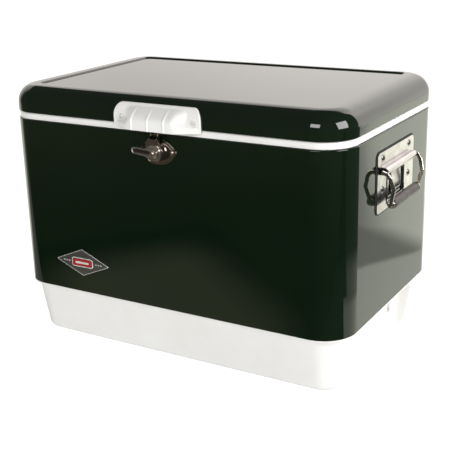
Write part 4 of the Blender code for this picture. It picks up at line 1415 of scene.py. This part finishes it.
def sweep(name, near, far, strength):
    """A stretch of the bright ground behind the cooler."""
    corners = [(-FAR, near, 0), (edge_at(near), near, 0), (edge_at(far), far, 0), (-FAR, far, 0)]
    card(name, corners, strength, SAGE, (0, 0, -0.010))


def studio():
    """A pale floor, two softboxes, and cards that only show as reflections in the enamel."""
    bpy.context.scene.view_settings.view_transform = "Standard"
    world = bpy.data.worlds.new("studio")
    world.use_nodes = True
    background = world.node_tree.nodes["Background"]
    background.inputs["Color"].default_value = (1.0, 1.0, 1.0, 1.0)
    background.inputs["Strength"].default_value = WORLD_LIGHT
    bpy.context.scene.world = world

    pale = Nodes("pale_floor")
    pale.shader.inputs["Emission Color"].default_value = (1.0, 1.0, 1.0, 1.0)
    pale.shader.inputs["Emission Strength"].default_value = FLOOR_GLOW
    look = pale.finish((0.25, 0.25, 0.25), 0.9)
    floor = plane("floor", oblong(-FLOOR_REACH, -FLOOR_REACH, FLOOR_REACH, FLOOR_REACH), look)
    floor.visible_glossy = False

    card("ground", oblong(-FAR, -FAR, FAR, FAR), [("R", 0.9, 2.2, 0.03, 0.12)], OLIVE, (0, 0, -0.040))
    card(
        "pool_beside", oblong(0.0, -0.30, FAR, FAR),
        [("R", 0.55, 0.72, 0.56, 0.10), ("Y", 0.02, 0.13, 0.12, 1.0)],
        SAGE, (POOL_X, POOL_Y, -0.020),
    )
    card(
        "pool_foot", [(0, 0, 0)] + [(x, y, 0) for x, y in arc((0, 0), 0.45, -3, 110, 24)],
        [("R", 0.39, 0.45, 1.08, 0.54)], SAGE, (POOL_X, POOL_Y, -0.018),
    )
    card(
        "pool_before", oblong(-0.34, -0.34, 0.24, 0.34),
        [
            ("X", 0.09, 0.23, 0.36, 0.03), ("X", -0.20, -0.10, 0.35, 1.0), ("Y", -0.30, -0.06, 0.0, 1.0),
            ("R", 0.26, 0.46, 1.0, 0.08),
        ],
        OLIVE, (-0.25, -0.50, -0.030), -51.7,
    )
    card("pool_left", oblong(-FAR, -0.36, -0.2, 0), 0.35, place=(0, 0, -0.015))
    sweep("sweep_near", EDGE_Y, 0.90, 1.28)
    band = [(-0.012, -0.108), (0.496, 0.286), (0.089, 0.494), (0.020, 0.150), (-0.012, 0.060)]
    card(
        "sweep_band", [(x, y, 0) for x, y in band],
        [("X", -0.012, 0.014, 1.28, 0.62), ("Y", 0.06, 0.17, 1.0, 2.70)],
        SAGE, (0.445, 0.420, -0.008), 27.0,
    )
    sweep("sweep_far", 0.90, BACK_Y, 1.75)
    card(
        "sweep_side", oblong(-0.12, 0.0, 0.0, 1.60), [("X", -0.12, -0.02, 1.70, 0.88)],
        SAGE, (edge_at(0.58), 0.58, -0.006), -25.0,
    )
    outline = [
        (LEFT_X, 0.0), (2.4, 0.0), (2.4, 1.6), (2.1, 3.0), (2.2, 4.9), (1.4, 5.6), (-0.5, 6.2),
        (LEFT_X, 6.2),
    ]
    card(
        "backdrop", [(x, BACK_Y, z) for x, z in outline],
        [
            ("Z", 0.9, 2.2, 1.30, 2.30), ("Z", 4.2, 6.0, 1.0, 0.03), ("X", -2.6, -1.0, 0.88, 1.08),
            ("X", 0.6, 1.5, 1.0, 1.30),
        ],
    )
    card(
        "left_wall", [(LEFT_X, -0.8, 0), (LEFT_X, BACK_Y, 0), (LEFT_X, BACK_Y, 4.0), (LEFT_X, -0.8, 4.0)],
        [("Y", -0.8, 1.2, 0.05, 1.30)],
    )
    area_light("softbox_right", (2.05, -0.34, 1.13), (1.2, 1.1), RIGHT_POWER)
    area_light("softbox_front", (0.02, -2.30, 1.42), (1.2, 0.7), FRONT_POWER)


camera()
studio()
